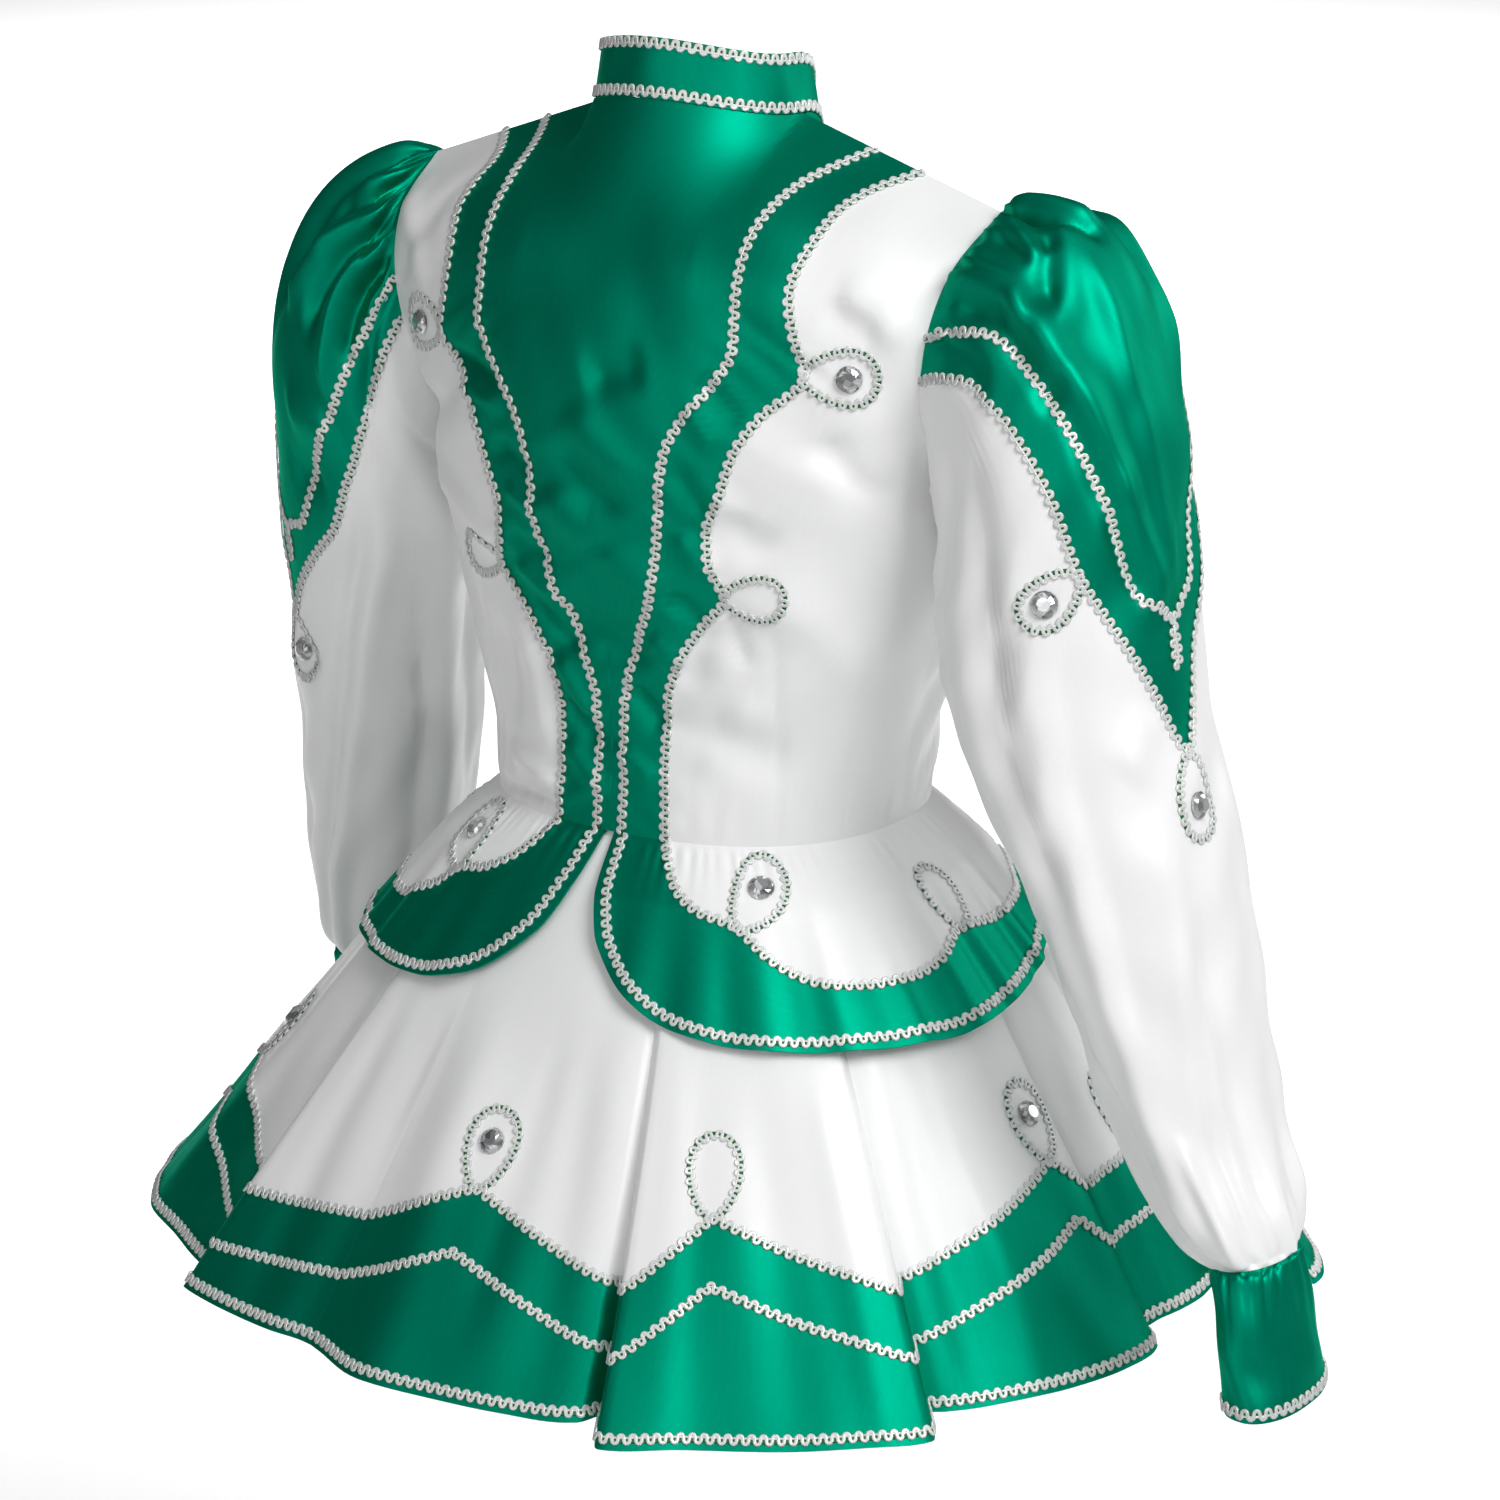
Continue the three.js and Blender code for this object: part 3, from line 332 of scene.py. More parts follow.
def uneven(x, seed, waves=5, low=0.6, high=1.7):
    """A wandering line between about -1 and 1: sines of seeded frequencies near one turn per unit."""
    draw = np.random.default_rng(seed)
    rates = draw.uniform(low, high, waves)
    starts = draw.uniform(0, 2 * math.pi, waves)
    total = sum(np.sin(2 * math.pi * rate * x + start) for rate, start in zip(rates, starts))
    return total / math.sqrt(waves)


def rumple(x, y, seed, waves=7):
    """Soft unevenness over a surface: sines across seeded directions, near one turn per unit."""
    draw = np.random.default_rng(seed)
    turns = draw.uniform(0, math.pi, waves)
    rates = draw.uniform(0.5, 1.4, waves)
    starts = draw.uniform(0, 2 * math.pi, waves)
    total = sum(np.sin(2 * math.pi * rate * (x * math.cos(turn) + y * math.sin(turn)) + start)
                for turn, rate, start in zip(turns, rates, starts))
    return total / math.sqrt(waves)


def bell(x):
    return np.exp(-(x ** 2))


def folds(p, q, table, p_size, q_size):
    """Millimetres out for a table of ridges and troughs: from (p, q) to (p, q), half width and height
    in millimetres. Each is a bell across its line, and fades over its end quarters."""
    out = np.zeros(np.broadcast(p, q).shape)
    for p0, q0, p1, q1, width, height in table:
        run_p, run_q = (p1 - p0) * p_size, (q1 - q0) * q_size
        length = math.hypot(run_p, run_q)
        dx, dy = (p - p0) * p_size, (q - q0) * q_size
        along = (dx * run_p + dy * run_q) / length ** 2
        across = (dx * run_q - dy * run_p) / length
        ends = smoothstep(-0.12, 0.25, along) * (1 - smoothstep(0.75, 1.12, along))
        out = out + height * bell(across / width) * ends
    return out


def unit(vectors):
    return vectors / np.maximum(np.linalg.norm(vectors, axis=-1, keepdims=True), 1e-12)


def normals_of(surface, p, q, flip, step):
    """Unit normals: the cross product of the surface's differences along p and q."""
    along_p = surface(p + step[0], q) - surface(p - step[0], q)
    along_q = surface(p, q + step[1]) - surface(p, q - step[1])
    return unit(np.cross(along_p, along_q) * flip)


class Form:
    """A smooth form with folds on it: point(p, q) is the form moved along its own normal by the folds."""

    def __init__(self, surface, folded, flip, step=(0.004, 0.004), limits=(-1e9, 1e9, -1e9, 1e9)):
        self.surface, self.folded, self.flip, self.step, self.limits = surface, folded, flip, step, limits

    def inside(self, p, q):
        p_low, p_high, q_low, q_high = self.limits
        return np.clip(p, p_low, p_high), np.clip(q, q_low, q_high)

    def point(self, p, q, out=0.0):
        p, q = np.broadcast_arrays(np.asarray(p, float), np.asarray(q, float))
        normal = normals_of(self.surface, *self.inside(p, q), self.flip, self.step)
        height = (self.folded(p, q) * MM + out)[..., None]
        return self.surface(p, q) + normal * height

    def normal(self, p, q):
        p, q = np.broadcast_arrays(np.asarray(p, float), np.asarray(q, float))
        return normals_of(self.point, *self.inside(p, q), self.flip, self.step)


def line_across(line, up):
    return smooth_curve(line["up"], line["across"], up)


BACK_FOLDS = [
    # across, up, across, up, half width, height
    (0.105, 0.517, -0.01, 0.445, 12, 4.6), (-0.01, 0.45, -0.13, 0.372, 12, 4.6),
    (0.1, 0.345, -0.085, 0.268, 11, -5.2), (0.005, 0.695, -0.165, 0.72, 12, -5.2),
    (0.05, 0.645, -0.135, 0.547, 12, 3.8), (0.095, 0.588, -0.05, 0.495, 9, -3.8),
    (0.585, 0.698, 0.34, 0.67, 4.5, -3.6), (0.505, 0.645, 0.3, 0.633, 5, 3.2),
    (0.315, 0.575, 0.155, 0.542, 4.5, -3.5), (0.225, 0.51, 0.12, 0.478, 5, 3.2),
    (0.23, 0.44, 0.105, 0.405, 5, -3.6), (0.225, 0.393, 0.095, 0.343, 6, 3.2),
    (0.195, 0.335, 0.055, 0.265, 5.5, -3.8), (0.12, 0.25, 0.045, 0.165, 6, 3.8),
    (0.12, 0.188, 0.025, 0.128, 5, -4.1), (0.125, 0.122, 0.02, 0.06, 6, 3.5),
    (-0.305, 0.667, -0.37, 0.608, 5.5, 3.8), (-0.34, 0.715, -0.445, 0.647, 6, -3.8),
    (-0.225, 0.583, -0.245, 0.505, 6, -4.3), (-0.19, 0.478, -0.25, 0.42, 6, 3.8),
    (-0.155, 0.383, -0.23, 0.345, 5, -3.5), (-0.09, 0.307, -0.185, 0.275, 6, 3.2),
    (-0.04, 0.23, -0.125, 0.168, 5.5, -4.1), (-0.01, 0.133, -0.115, 0.083, 6, 3.5),
    (-0.285, 0.508, -0.395, 0.45, 12, -4.3), (-0.23, 0.34, -0.2, 0.238, 9, -3.6),
    (-0.3, 0.355, -0.35, 0.278, 4, -2.9), (-0.23, 0.182, -0.515, 0.115, 14, -4.6),
    (-0.43, 0.388, -0.785, 0.25, 16, 4.6), (-0.675, 0.633, -0.71, 0.542, 12, -3.8),
    (-0.675, 0.835, -0.86, 0.805, 10, -3.2), (-0.235, 0.113, -0.395, 0.23, 9, 2.9),
    (-0.63, 0.323, -0.73, 0.128, 14, 3.2), (-0.55, 0.56, -0.95, 0.6, 13, 3.6),
    (-0.72, 0.86, -0.95, 0.8, 9, 3.2), (0.6, 0.5, 0.28, 0.41, 9, 4.6), (0.61, 0.482, 0.845, 0.343, 9, -4.3),
    (0.235, 0.297, 0.195, 0.107, 9, 4.3), (0.34, 0.285, 0.34, 0.13, 8, -4.3),
    (0.6, 0.01, 0.15, 0.028, 4, -3.6), (0.395, 0.08, 0.145, 0.048, 7, 4.3),
    (0.66, 0.92, 0.97, 0.8, 10, -2.9), (0.72, 0.8, 0.97, 0.93, 11, 3.6), (0.55, 0.62, 0.92, 0.56, 12, -3.6),
]


BACK_SIZE = (190, 400)    # millimetres on the back for one unit across and up


def panel_fade(share, up):
    """1 over a panel, and 0 at its waist, shoulder and side seams."""
    return smoothstep(0.0, 0.03, up) * (1 - smoothstep(0.97, 1.0, up)) * (1 - smoothstep(0.97, 1.0, share))


def back_folded(across, up):
    """The listed folds, short uneven puckers across the bands, and small gathers above the waist seam."""
    share = abs(across)
    seeds = np.where(across < 0, 3.0, 0.0)
    inner, outer = line_across(INNER_LINE, np.clip(up, 0, 1)), line_across(OUTER_LINE, np.clip(up, 0, 1))
    middle = (inner + outer) / 2
    on_band = bell((share - middle) * 6.5) * (1 - smoothstep(0.9, 1.0, up))
    slant = up * 15 + (share - middle) * 5
    strength = 0.5 + 0.5 * uneven(up * 4 + seeds, 15)
    pucker = 0.9 * on_band * strength * uneven(slant + seeds, 11, low=0.4, high=2.4)
    beside = bell((share - outer - 0.04) * 15)
    pucker = pucker + 0.5 * beside * strength * uneven(up * 13 + share * 4 + seeds, 12, low=0.4, high=2.4)
    waist = 1.2 * np.exp(-up / 0.04) * uneven(across * 16, 13) * smoothstep(0.12, 0.2, share)
    dart = -1.0 * bell((share - 0.41 - 0.28 * (0.36 - up)) * 60) * (1 - smoothstep(0.33, 0.37, up))
    soft = 0.8 * rumple(across * 3.2, up * 6.5, 14) * smoothstep(0.0, 0.2, share)
    return (folds(across, up, BACK_FOLDS, *BACK_SIZE) + pucker + waist + dart + soft) * panel_fade(share, up)


def front_folded(across, up):
    """The bust's fullness is in the form itself; here soft unevenness and folds towards the armholes."""
    share = abs(across)
    soft = 1.1 * rumple(across * 3.0, up * 6.0, 24)
    waist = 1.2 * np.exp(-up / 0.05) * uneven(across * 15, 23)
    pulls = 1.6 * bell((share - 0.85) * 5) * uneven(up * 9 + share * 3, 25)
    return (soft + waist + pulls) * panel_fade(share, up)


def peplum_surface(angle, drop):
    return cone(angle, drop, PEPLUM_LIFT * np.clip(drop / 0.1, 0, 1))


def peplum_folded(angle, drop):
    """Soft rays that start at the waist seam and widen to the edge, deepest over the hips."""
    place = np.where(angle < 0, 7.0, 0.0)
    growth = smoothstep(0.02, 0.3, drop)
    rays = 1.3 * growth * uneven(angle / 17 + place, 31)
    fine = 1.0 * growth * uneven(angle / 7.5 + place, 32) * bell((abs(angle) - 95) / 40)
    waist = 1.0 * np.exp(-drop / 0.03) * uneven(angle / 4.2 + place, 33)
    return (rays + fine + waist) * smoothstep(0, 0.03, drop)


def skirt_surface(angle, drop):
    tuck = -SKIRT_TUCK * (1 - np.clip(drop / 0.1, 0, 1))
    return cone(angle, drop, tuck + flute(angle, drop))


SKIRT_FOLDS = [
    # angle, drop, angle, drop, half width, height
    (8, 0.36, 12, 1.05, 13, -2.5), (-6, 0.4, -4, 1.05, 14, 2), (3, 0.36, 3, 0.9, 9, -1.5),
    (22, 0.36, 24, 1.05, 10, 2), (34, 0.38, 36, 1.05, 15, -2.5), (43, 0.4, 44, 1.05, 10, 2),
    (57, 0.4, 56, 1.05, 11, -2), (66, 0.36, 64, 1.05, 12, 2), (-27, 0.36, -22, 1.05, 13, -3),
    (-34, 0.4, -33, 1.05, 12, 2.5), (-50, 0.36, -52, 1.05, 14, 2.5), (-64, 0.38, -63, 1.05, 13, -2.5),
    (98, 0.4, 97, 1.05, 12, 2), (121, 0.36, 123, 1.05, 14, -2.5), (150, 0.36, 149, 1.05, 14, 2.5),
    (172, 0.36, 174, 1.05, 12, -2.5), (187, 0.4, 186, 1.05, 13, 2), (-152, 0.36, -150, 1.05, 13, -2.5),
    (-126, 0.4, -127, 1.05, 12, 2), (-94, 0.36, -93, 1.05, 13, -2.5),
]
SKIRT_SIZE = (4.6, 269)   # millimetres for a degree round the hem and for the whole drop


def skirt_folded(angle, drop):
    """The listed long folds and a soft unevenness, both still at the seams and below the waist."""
    turned = (angle + 180) % 360 - 180
    shifted = np.where(turned < -160, turned + 360, turned)
    long_folds = folds(shifted, drop, SKIRT_FOLDS, *SKIRT_SIZE)
    soft = 1.0 * rumple(shifted / 20, drop * 3.2, 41)
    across = gore_at(angle)[1]
    seams = smoothstep(0, 0.12, across) * (1 - smoothstep(0.88, 1, across))
    return (long_folds + soft) * seams * smoothstep(0.05, 0.4, drop)


SLEEVE_FOLDS = {
    "right": [
        # angle, row, angle, row, half width, height
        (44, 0.5, 50, 2.5, 8, 6), (51, 2.2, 39, 3.6, 10, 9), (41, 3.4, 24, 4.5, 11, 10),
        (27, 4.3, 6, 5.3, 10, 7), (60, 1, 56, 2.7, 7, -6), (57, 2.5, 46, 3.5, 7, -9),
        (47, 3.3, 27, 4.6, 7, -9), (29, 4.5, 14, 5.2, 6, -6), (6, 0.9, 26, 2.15, 8, -5),
        (22, 1.9, 38, 2.7, 9, -6), (33, 2.7, 46, 2.4, 8, -4), (17, 1, 33, 2.2, 7, 6),
        (27, 1.1, 36, 2.1, 3, -3), (12, 0.6, 8, 2, 5, -6), (9, 1.9, -1, 2.5, 4.5, -5),
        (0, 0.6, -4, 2.3, 8, 5), (13, 2.6, 12, 3.8, 7, 3), (12, 3.6, -3, 5.2, 7, 3),
        (-20, 0.3, -24, 3, 8, -6), (-34, 0.3, -30, 3.8, 9, 6), (-48, 0.3, -42, 3.2, 8, -7),
        (-62, 0.3, -52, 2.8, 8, 5), (72, 0.4, 76, 2.6, 8, -4), (100, 0.6, 116, 4.1, 12, -4),
        (93, 2.4, 87, 5.6, 12, -4), (112, 3.6, 104, 8.6, 14, 4), (53, 4.9, 64, 8.2, 12, -3),
        (22, 6.6, 36, 8.4, 12, 3), (18, 5.9, 34, 6.3, 9, 4), (76, 6.2, 80, 10.3, 14, 3.5),
        (28, 8.2, 38, 10.6, 9, -4), (10, 7.2, 14, 10.4, 10, -4), (112, 8.4, 104, 10.8, 10, -5),
        (134, 8.2, 122, 10.8, 9, 5), (60, 9, 58, 10.9, 8, 4), (-40, 6.4, -50, 10.2, 13, 5),
        (-80, 5.4, -84, 10, 13, -6), (-120, 4, -118, 9.6, 13, 5), (-150, 3, -148, 9, 12, -5),
        (150, 1.2, 144, 8, 12, 4),
    ],
    "left": [
        (40, 0.2, 17, 2.1, 8, 9), (19, 1.8, 5, 3, 8, 7), (50, 0.1, 32, 1.5, 7, -9),
        (33, 1.3, 26, 2.8, 8, -8), (58, 0.1, 42, 1.4, 6, 8), (42, 1.1, 49, 3, 8, 8),
        (64, 0.2, 54, 1.3, 6, -8), (54, 1.1, 59, 2.2, 7, -6), (70, 0.1, 64, 1.1, 5, 5),
        (30, 0.1, 8, 1.8, 8, -7), (9, 1.6, 2, 2.8, 8, -6), (22, 0.1, 6, 1.5, 7, 6),
        (18, 3.9, 56, 3.4, 11, 5), (14, 4.7, 40, 4.3, 9, -4), (-8, 0.1, -8, 3.2, 8, -6),
        (-24, 0.1, -20, 4, 9, 7), (-42, 0.1, -34, 3.6, 8, -7), (-60, 0.2, -50, 3.2, 8, 6),
        (63, 4.3, 34, 7, 8, -5), (37, 6.6, 2, 10.3, 8, -5), (73, 4, 47, 6.9, 12, 5),
        (48, 6.5, 15, 10.3, 12, 5), (-6, 6.5, 20, 6.7, 9, -5), (76, 1, 78, 2.6, 8, -5),
        (112, 1.6, 100, 8.8, 14, 4), (92, 5.6, 76, 10.2, 12, -4), (140, 1.2, 132, 8, 12, -5),
        (-20, 7, -24, 10.4, 12, -5), (-60, 5.6, -64, 10.2, 13, 5), (-100, 4, -98, 9.8, 13, -6),
        (-140, 3, -136, 9.4, 12, 5), (164, 2.4, 160, 9, 11, 5),
    ],
}
SLEEVE_GIRTH = 1.3        # millimetres round the sleeve for a degree


def sleeve_folded(side_name):
    """The listed folds, short gathers that leave the armhole over the cap, and gathers into the cuff.
    Rows count as the millimetres travelled down the sleeve's back."""
    seed = 51 if side_name == "right" else 61
    rows = SLEEVE_ROWS[side_name]
    places = np.arange(SLEEVE_END + 1)
    travelled = edge_lengths(ring_point(rows, places, 60)[:, None], 0)[:, 0] / MM
    down = lambda row: np.interp(row, places, travelled)
    table = [(a, down(r), b, down(s), width, height) for a, r, b, s, width, height in SLEEVE_FOLDS[side_name]]

    def height(row, angle):
        listed = folds(angle, down(row), table, SLEEVE_GIRTH, 1)
        on_cap = 1 - smoothstep(66, 84, abs(angle))
        short = smoothstep(0.02, 0.5, row) * bell(down(row) / 26)
        sway = 0.5 * uneven(angle / 24, seed + 3)
        gathers = (2.4 * on_cap + 0.8) * short * (0.6 + 0.4 * uneven(angle / 31, seed + 4))
        gathers = gathers * np.cos(2 * math.pi * (angle / 9 + sway))
        wrist = smoothstep(9.0, 10.6, row) * (1 - smoothstep(10.85, 11, row))
        tucks = 2.2 * wrist * uneven(angle / 26 + 0.2 * row, seed + 1)
        soft = 1.2 * rumple(angle / 42, down(row) / 60, seed + 2) * smoothstep(0.1, 1.5, row)
        fade = 1 - smoothstep(10.8, 11, row)
        return gathers + tucks + (listed * smoothstep(0, 0.35, row) + soft) * fade
    return height


def cuff_folded(side_name):
    """Gathers below the cuff seam that die out half way, and slight dents."""
    seed = 71 if side_name == "right" else 75

    def height(row, angle):
        below = smoothstep(0, 0.35, row) * np.exp(-np.maximum(row - 0.35, 0) / 0.6)
        puckers = 1.8 * below * uneven(angle / 19, seed)
        return puckers + 0.8 * rumple(angle / 60, row, seed + 1) * smoothstep(0, 0.5, row)
    return height


def collar_surface(turn, rise):
    """The neck oval carried up by the collar's height, leaning in by COLLAR_LEAN."""
    turn, rise = np.broadcast_arrays(np.asarray(turn, float), np.asarray(rise, float))
    front = abs(turn) > 90
    share = np.where(front, 180 - abs(turn), abs(turn)) / 90 * NECK_SHARE * 0.99999
    back_xyz, front_xyz = shoulder_line(share, False), shoulder_line(share, True)
    x, y, z = (np.where(front, f, b) for f, b in zip(front_xyz, back_xyz))
    x = x * np.where(turn < 0, -1, 1)
    length = np.hypot(x, y)
    shrink = 1 - COLLAR_LEAN * rise / length
    return np.stack([x * shrink, y * shrink, z + 0.5 + COLLAR_HEIGHT * rise], -1) * MM


def collar_folded(turn, rise):
    """A faint wave from the stiffening inside."""
    return 0.7 * uneven(turn / 45, 81) * np.sin(math.pi * np.clip(rise, 0, 1))


BACK = Form(lambda p, q: bodice(p, q, False), back_folded, -1, limits=(-0.996, 0.996, 0.004, 0.996))
FRONT = Form(lambda p, q: bodice(p, q, True), front_folded, 1, limits=(-0.996, 0.996, 0.004, 0.996))
PEPLUM = Form(peplum_surface, peplum_folded, -1, step=(0.4, 0.004))
SKIRT = Form(skirt_surface, skirt_folded, -1, step=(0.25, 0.004))
COLLAR = Form(collar_surface, collar_folded, -1, step=(1.0, 0.02), limits=(-179, 179, 0, 1))
SIDES = {"right": -1, "left": 1}
SLEEVES = {
    name: Form(lambda p, q, name=name: sleeve_form(name, p, q), sleeve_folded(name), side, step=(0.03, 0.8),
               limits=(0.03, 10.97, -1e9, 1e9))
    for name, side in SIDES.items()
}
CUFFS = {
    name: Form(lambda p, q, name=name: ring_point(CUFF_ROWS[name], p, q), cuff_folded(name), side,
               step=(0.03, 1.5), limits=(0.03, 2.97, -1e9, 1e9))
    for name, side in SIDES.items()
}


# ---------------------------------------------------------------- materials

def set_inputs(node, **values):
    """Sets a node's inputs; an underscore stands for the space in an input's name."""
    for name, value in values.items():
        node.inputs[name.replace("_", " ")].default_value = value


def math_node(tree, operation, first, second):
    node = tree.nodes.new("ShaderNodeMath")
    node.operation = operation
    for socket, value in zip(node.inputs, (first, second)):
        if isinstance(value, (int, float)):
            socket.default_value = value
        else:
            tree.links.new(value, socket)
    return node.outputs[0]


def blend(tree, first, share, second):
    """A share of the first value and the rest of the second."""
    return math_node(tree, "ADD", math_node(tree, "MULTIPLY", first, share),
                     math_node(tree, "MULTIPLY", second, 1 - share))


def noise_node(tree, vector, scale, detail, roughness=0.5):
    node = tree.nodes.new("ShaderNodeTexNoise")
    set_inputs(node, Scale=scale, Detail=detail, Roughness=roughness)
    tree.links.new(vector, node.inputs["Vector"])
    return node.outputs["Fac"]


def satin_group():
    """Satin weave: long floats along the cloth with faint slubs as a shade, and its height with dents."""
    group = bpy.data.node_groups.new("satin weave", "ShaderNodeTree")
    for way, kind, labels in (("INPUT", "NodeSocketVector", ("Cloth", "Place")),
                              ("OUTPUT", "NodeSocketFloat", ("Shade", "Height"))):
        for label in labels:
            group.interface.new_socket(label, in_out=way, socket_type=kind)
    entry, leave = group.nodes.new("NodeGroupInput"), group.nodes.new("NodeGroupOutput")
    stretch = group.nodes.new("ShaderNodeMapping")
    set_inputs(stretch, Scale=(1.0, 0.12, 1.0))
    group.links.new(entry.outputs["Cloth"], stretch.inputs["Vector"])
    shade = blend(group, noise_node(group, stretch.outputs[0], 2600, 2), 0.5,
                  noise_node(group, stretch.outputs[0], 420, 3))
    height = blend(group, shade, 0.16, noise_node(group, entry.outputs["Place"], 38, 3, 0.45))
    group.links.new(shade, leave.inputs["Shade"])
    group.links.new(height, leave.inputs["Height"])
    return group


def new_material(name):
    """A material, its tree and its shader."""
    material = bpy.data.materials.new(name)
    material.use_nodes = True
    return material, material.node_tree, material.node_tree.nodes["Principled BSDF"]


def colour_between(tree, shader, low, high, factor):
    """The shader's colour, from low to high with a factor from 0 to 1."""
    ramp = tree.nodes.new("ShaderNodeMix")
    ramp.data_type = "RGBA"
    ramp.inputs["A"].default_value = (*low, 1)
    ramp.inputs["B"].default_value = (*high, 1)
    tree.links.new(factor, ramp.inputs["Factor"])
    tree.links.new(ramp.outputs["Result"], shader.inputs["Base Color"])


def satin(name, dark, light, rough, metallic, sheen, tint):
    """Satin: the colour runs from dark to light over the weave's shade, with a soft coloured gloss."""
    material, tree, shader = new_material(name)
    coordinates = tree.nodes.new("ShaderNodeTexCoord")
    weave = tree.nodes.new("ShaderNodeGroup")
    weave.node_tree = WEAVE
    tree.links.new(coordinates.outputs["UV"], weave.inputs["Cloth"])
    tree.links.new(coordinates.outputs["Object"], weave.inputs["Place"])
    colour_between(tree, shader, dark, light, weave.outputs["Shade"])
    relief = tree.nodes.new("ShaderNodeBump")
    set_inputs(relief, Strength=0.08, Distance=0.002)
    tree.links.new(weave.outputs["Height"], relief.inputs["Height"])
    tree.links.new(relief.outputs["Normal"], shader.inputs["Normal"])
    set_inputs(shader, Roughness=rough, Metallic=metallic, Sheen_Weight=sheen, Sheen_Roughness=0.45,
               Sheen_Tint=(*tint, 1), Specular_Tint=(*tint, 1))
    return material


def thread(name, colour, shadow, rough):
    """Metallic braid thread with a fine grain, darker in the hollows of its twist."""
    material, tree, shader = new_material(name)
    place = tree.nodes.new("ShaderNodeTexCoord").outputs["Object"]
    colour_between(tree, shader, shadow, colour, noise_node(tree, place, 1700, 1))
    set_inputs(shader, Roughness=rough, Metallic=0.25)
    return material


def clear_stone():
    """A clear stone over foil: dark and bright cells, a painted reflection of its facets, under a clear coat.
    """
    material, tree, shader = new_material("clear stone")
    # painted reflection: the dark and bright Voronoi cells stand in for the facets' dark reflections and
    # white flashes
    painted_facet_reflections = tree.nodes.new("ShaderNodeTexVoronoi")
    set_inputs(painted_facet_reflections, Scale=210)
    tree.links.new(tree.nodes.new("ShaderNodeTexCoord").outputs["Object"], painted_facet_reflections.inputs["Vector"])
    colour_between(tree, shader, (0.03, 0.03, 0.035), (0.95, 0.96, 0.97), painted_facet_reflections.outputs["Color"])
    set_inputs(shader, Roughness=0.06, Metallic=0.6, Coat_Weight=1.0, Coat_Roughness=0.02)
    return material


WEAVE = satin_group()
# Each finish is a material and the name of its slot.
GREEN = satin("green satin", (0.0, 0.24, 0.142), (0.0, 0.34, 0.206), rough=0.53, metallic=0.95, sheen=0.02,
              tint=(0.03, 1, 0.7)), "satin_green"
WHITE = satin("white satin", (0.84, 0.84, 0.845), (0.90, 0.90, 0.905), rough=0.38, metallic=0.0, sheen=0.1,
              tint=(1, 1, 1)), "satin_white"
THREAD = thread("silver white thread", (0.90, 0.91, 0.90), (0.60, 0.62, 0.61), 0.38), "braid"
CORE = thread("green core thread", (0.03, 0.22, 0.05), (0.0, 0.06, 0.02), 0.6), "satin_green"
STONE = clear_stone(), "crystal"


# ---------------------------------------------------------------- meshes

def make_object(name, points, faces, material, smooth=True):
    """A mesh object from an array of points and a list of faces."""
    mesh = bpy.data.meshes.new(name)
    mesh.from_pydata(points.tolist(), [], faces)
    mesh.polygons.foreach_set("use_smooth", np.full(len(faces), smooth))
    mesh.materials.append(material)
    mesh.update()
    piece = bpy.data.objects.new(name, mesh)
    bpy.context.scene.collection.objects.link(piece)
    return piece


def map_and_edges(mesh, uv, on_edge):
    """The cloth's own UV map in metres, and sharp edges where its two sheets meet their rims."""
    corners = np.empty(len(mesh.loops), np.int32)
    mesh.loops.foreach_get("vertex_index", corners)
    mesh.uv_layers.new(name="cloth").data.foreach_set("uv", uv[corners].ravel())
    ends = np.empty(2 * len(mesh.edges), np.int32)
    mesh.edges.foreach_get("vertices", ends)
    a, b = ends.reshape(-1, 2).T
    half = len(uv) // 2
    sharp = on_edge[a] & on_edge[b] & ((a < half) == (b < half))
    mesh.attributes.new("sharp_edge", "BOOLEAN", "EDGE").data.foreach_set("value", sharp)
    mesh.update()


def grid_faces(rows, columns, wrap):
    """Quads of a grid of points numbered row by row."""
    i, j = np.meshgrid(np.arange(rows - 1), np.arange(columns if wrap else columns - 1), indexing="ij")
    k = (j + 1) % columns
    corners = [i * columns + j, i * columns + k, (i + 1) * columns + k, (i + 1) * columns + j]
    return np.stack(corners, -1).reshape(-1, 4)


def cloth(node, form, p, q, finish, wrap=False):
    """A closed shell of cloth over a grid of the form: the outer sheet, the same sheet moved in along
    its normals by the cloth's thickness, and rims between their edges."""
    p, q = np.broadcast_arrays(p, q)
    outer, normal = form.point(p, q), form.normal(p, q)
    rows, columns = p.shape
    points, shift = outer.reshape(-1, 3), rows * columns
    number = np.arange(shift).reshape(rows, columns)
    sheet = grid_faces(rows, columns, wrap)
    a, b, d = (points[sheet[:, k]] for k in (0, 1, 3))
    flipped = (np.cross(b - a, d - a) * normal.reshape(-1, 3)[sheet[:, 0]]).sum() < 0
    if flipped:
        sheet = sheet[:, ::-1]
    loops = [number[0], number[-1]] if wrap else [
        np.concatenate([number[0], number[1:, -1], number[-1, -2::-1], number[-2:0:-1, 0]])]
    on_edge = np.zeros(2 * shift, bool)
    rims = []
    for turn, loop in enumerate(loops):
        after = np.roll(loop, -1)
        rim = np.stack([loop, after, after + shift, loop + shift], -1)
        rims.append(rim if flipped != (turn == 1) else rim[:, ::-1])
        on_edge[loop] = on_edge[loop + shift] = True
    faces = np.concatenate([sheet, sheet[:, ::-1] + shift, *rims])
    inner = (outer - normal * CLOTH).reshape(-1, 3)
    piece = make_object(node + "_cloth", np.concatenate([points, inner]), faces.tolist(), finish[0])
    over, down = edge_lengths(outer, 1), edge_lengths(outer, 0)
    uv = np.stack([over, down], -1).reshape(-1, 2)
    map_and_edges(piece.data, np.concatenate([uv, uv]), on_edge)
    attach(piece, "root")
    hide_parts(node)
    a, b, c, d = (points[sheet[:, k]] for k in range(4))


def between(low, high, shares):
    """Values from low to high for each share: a row for each level, a column for each share."""
    low, high = np.asarray(low, float)[:, None], np.asarray(high, float)[:, None]
    return low + (high - low) * np.asarray(shares)[None]


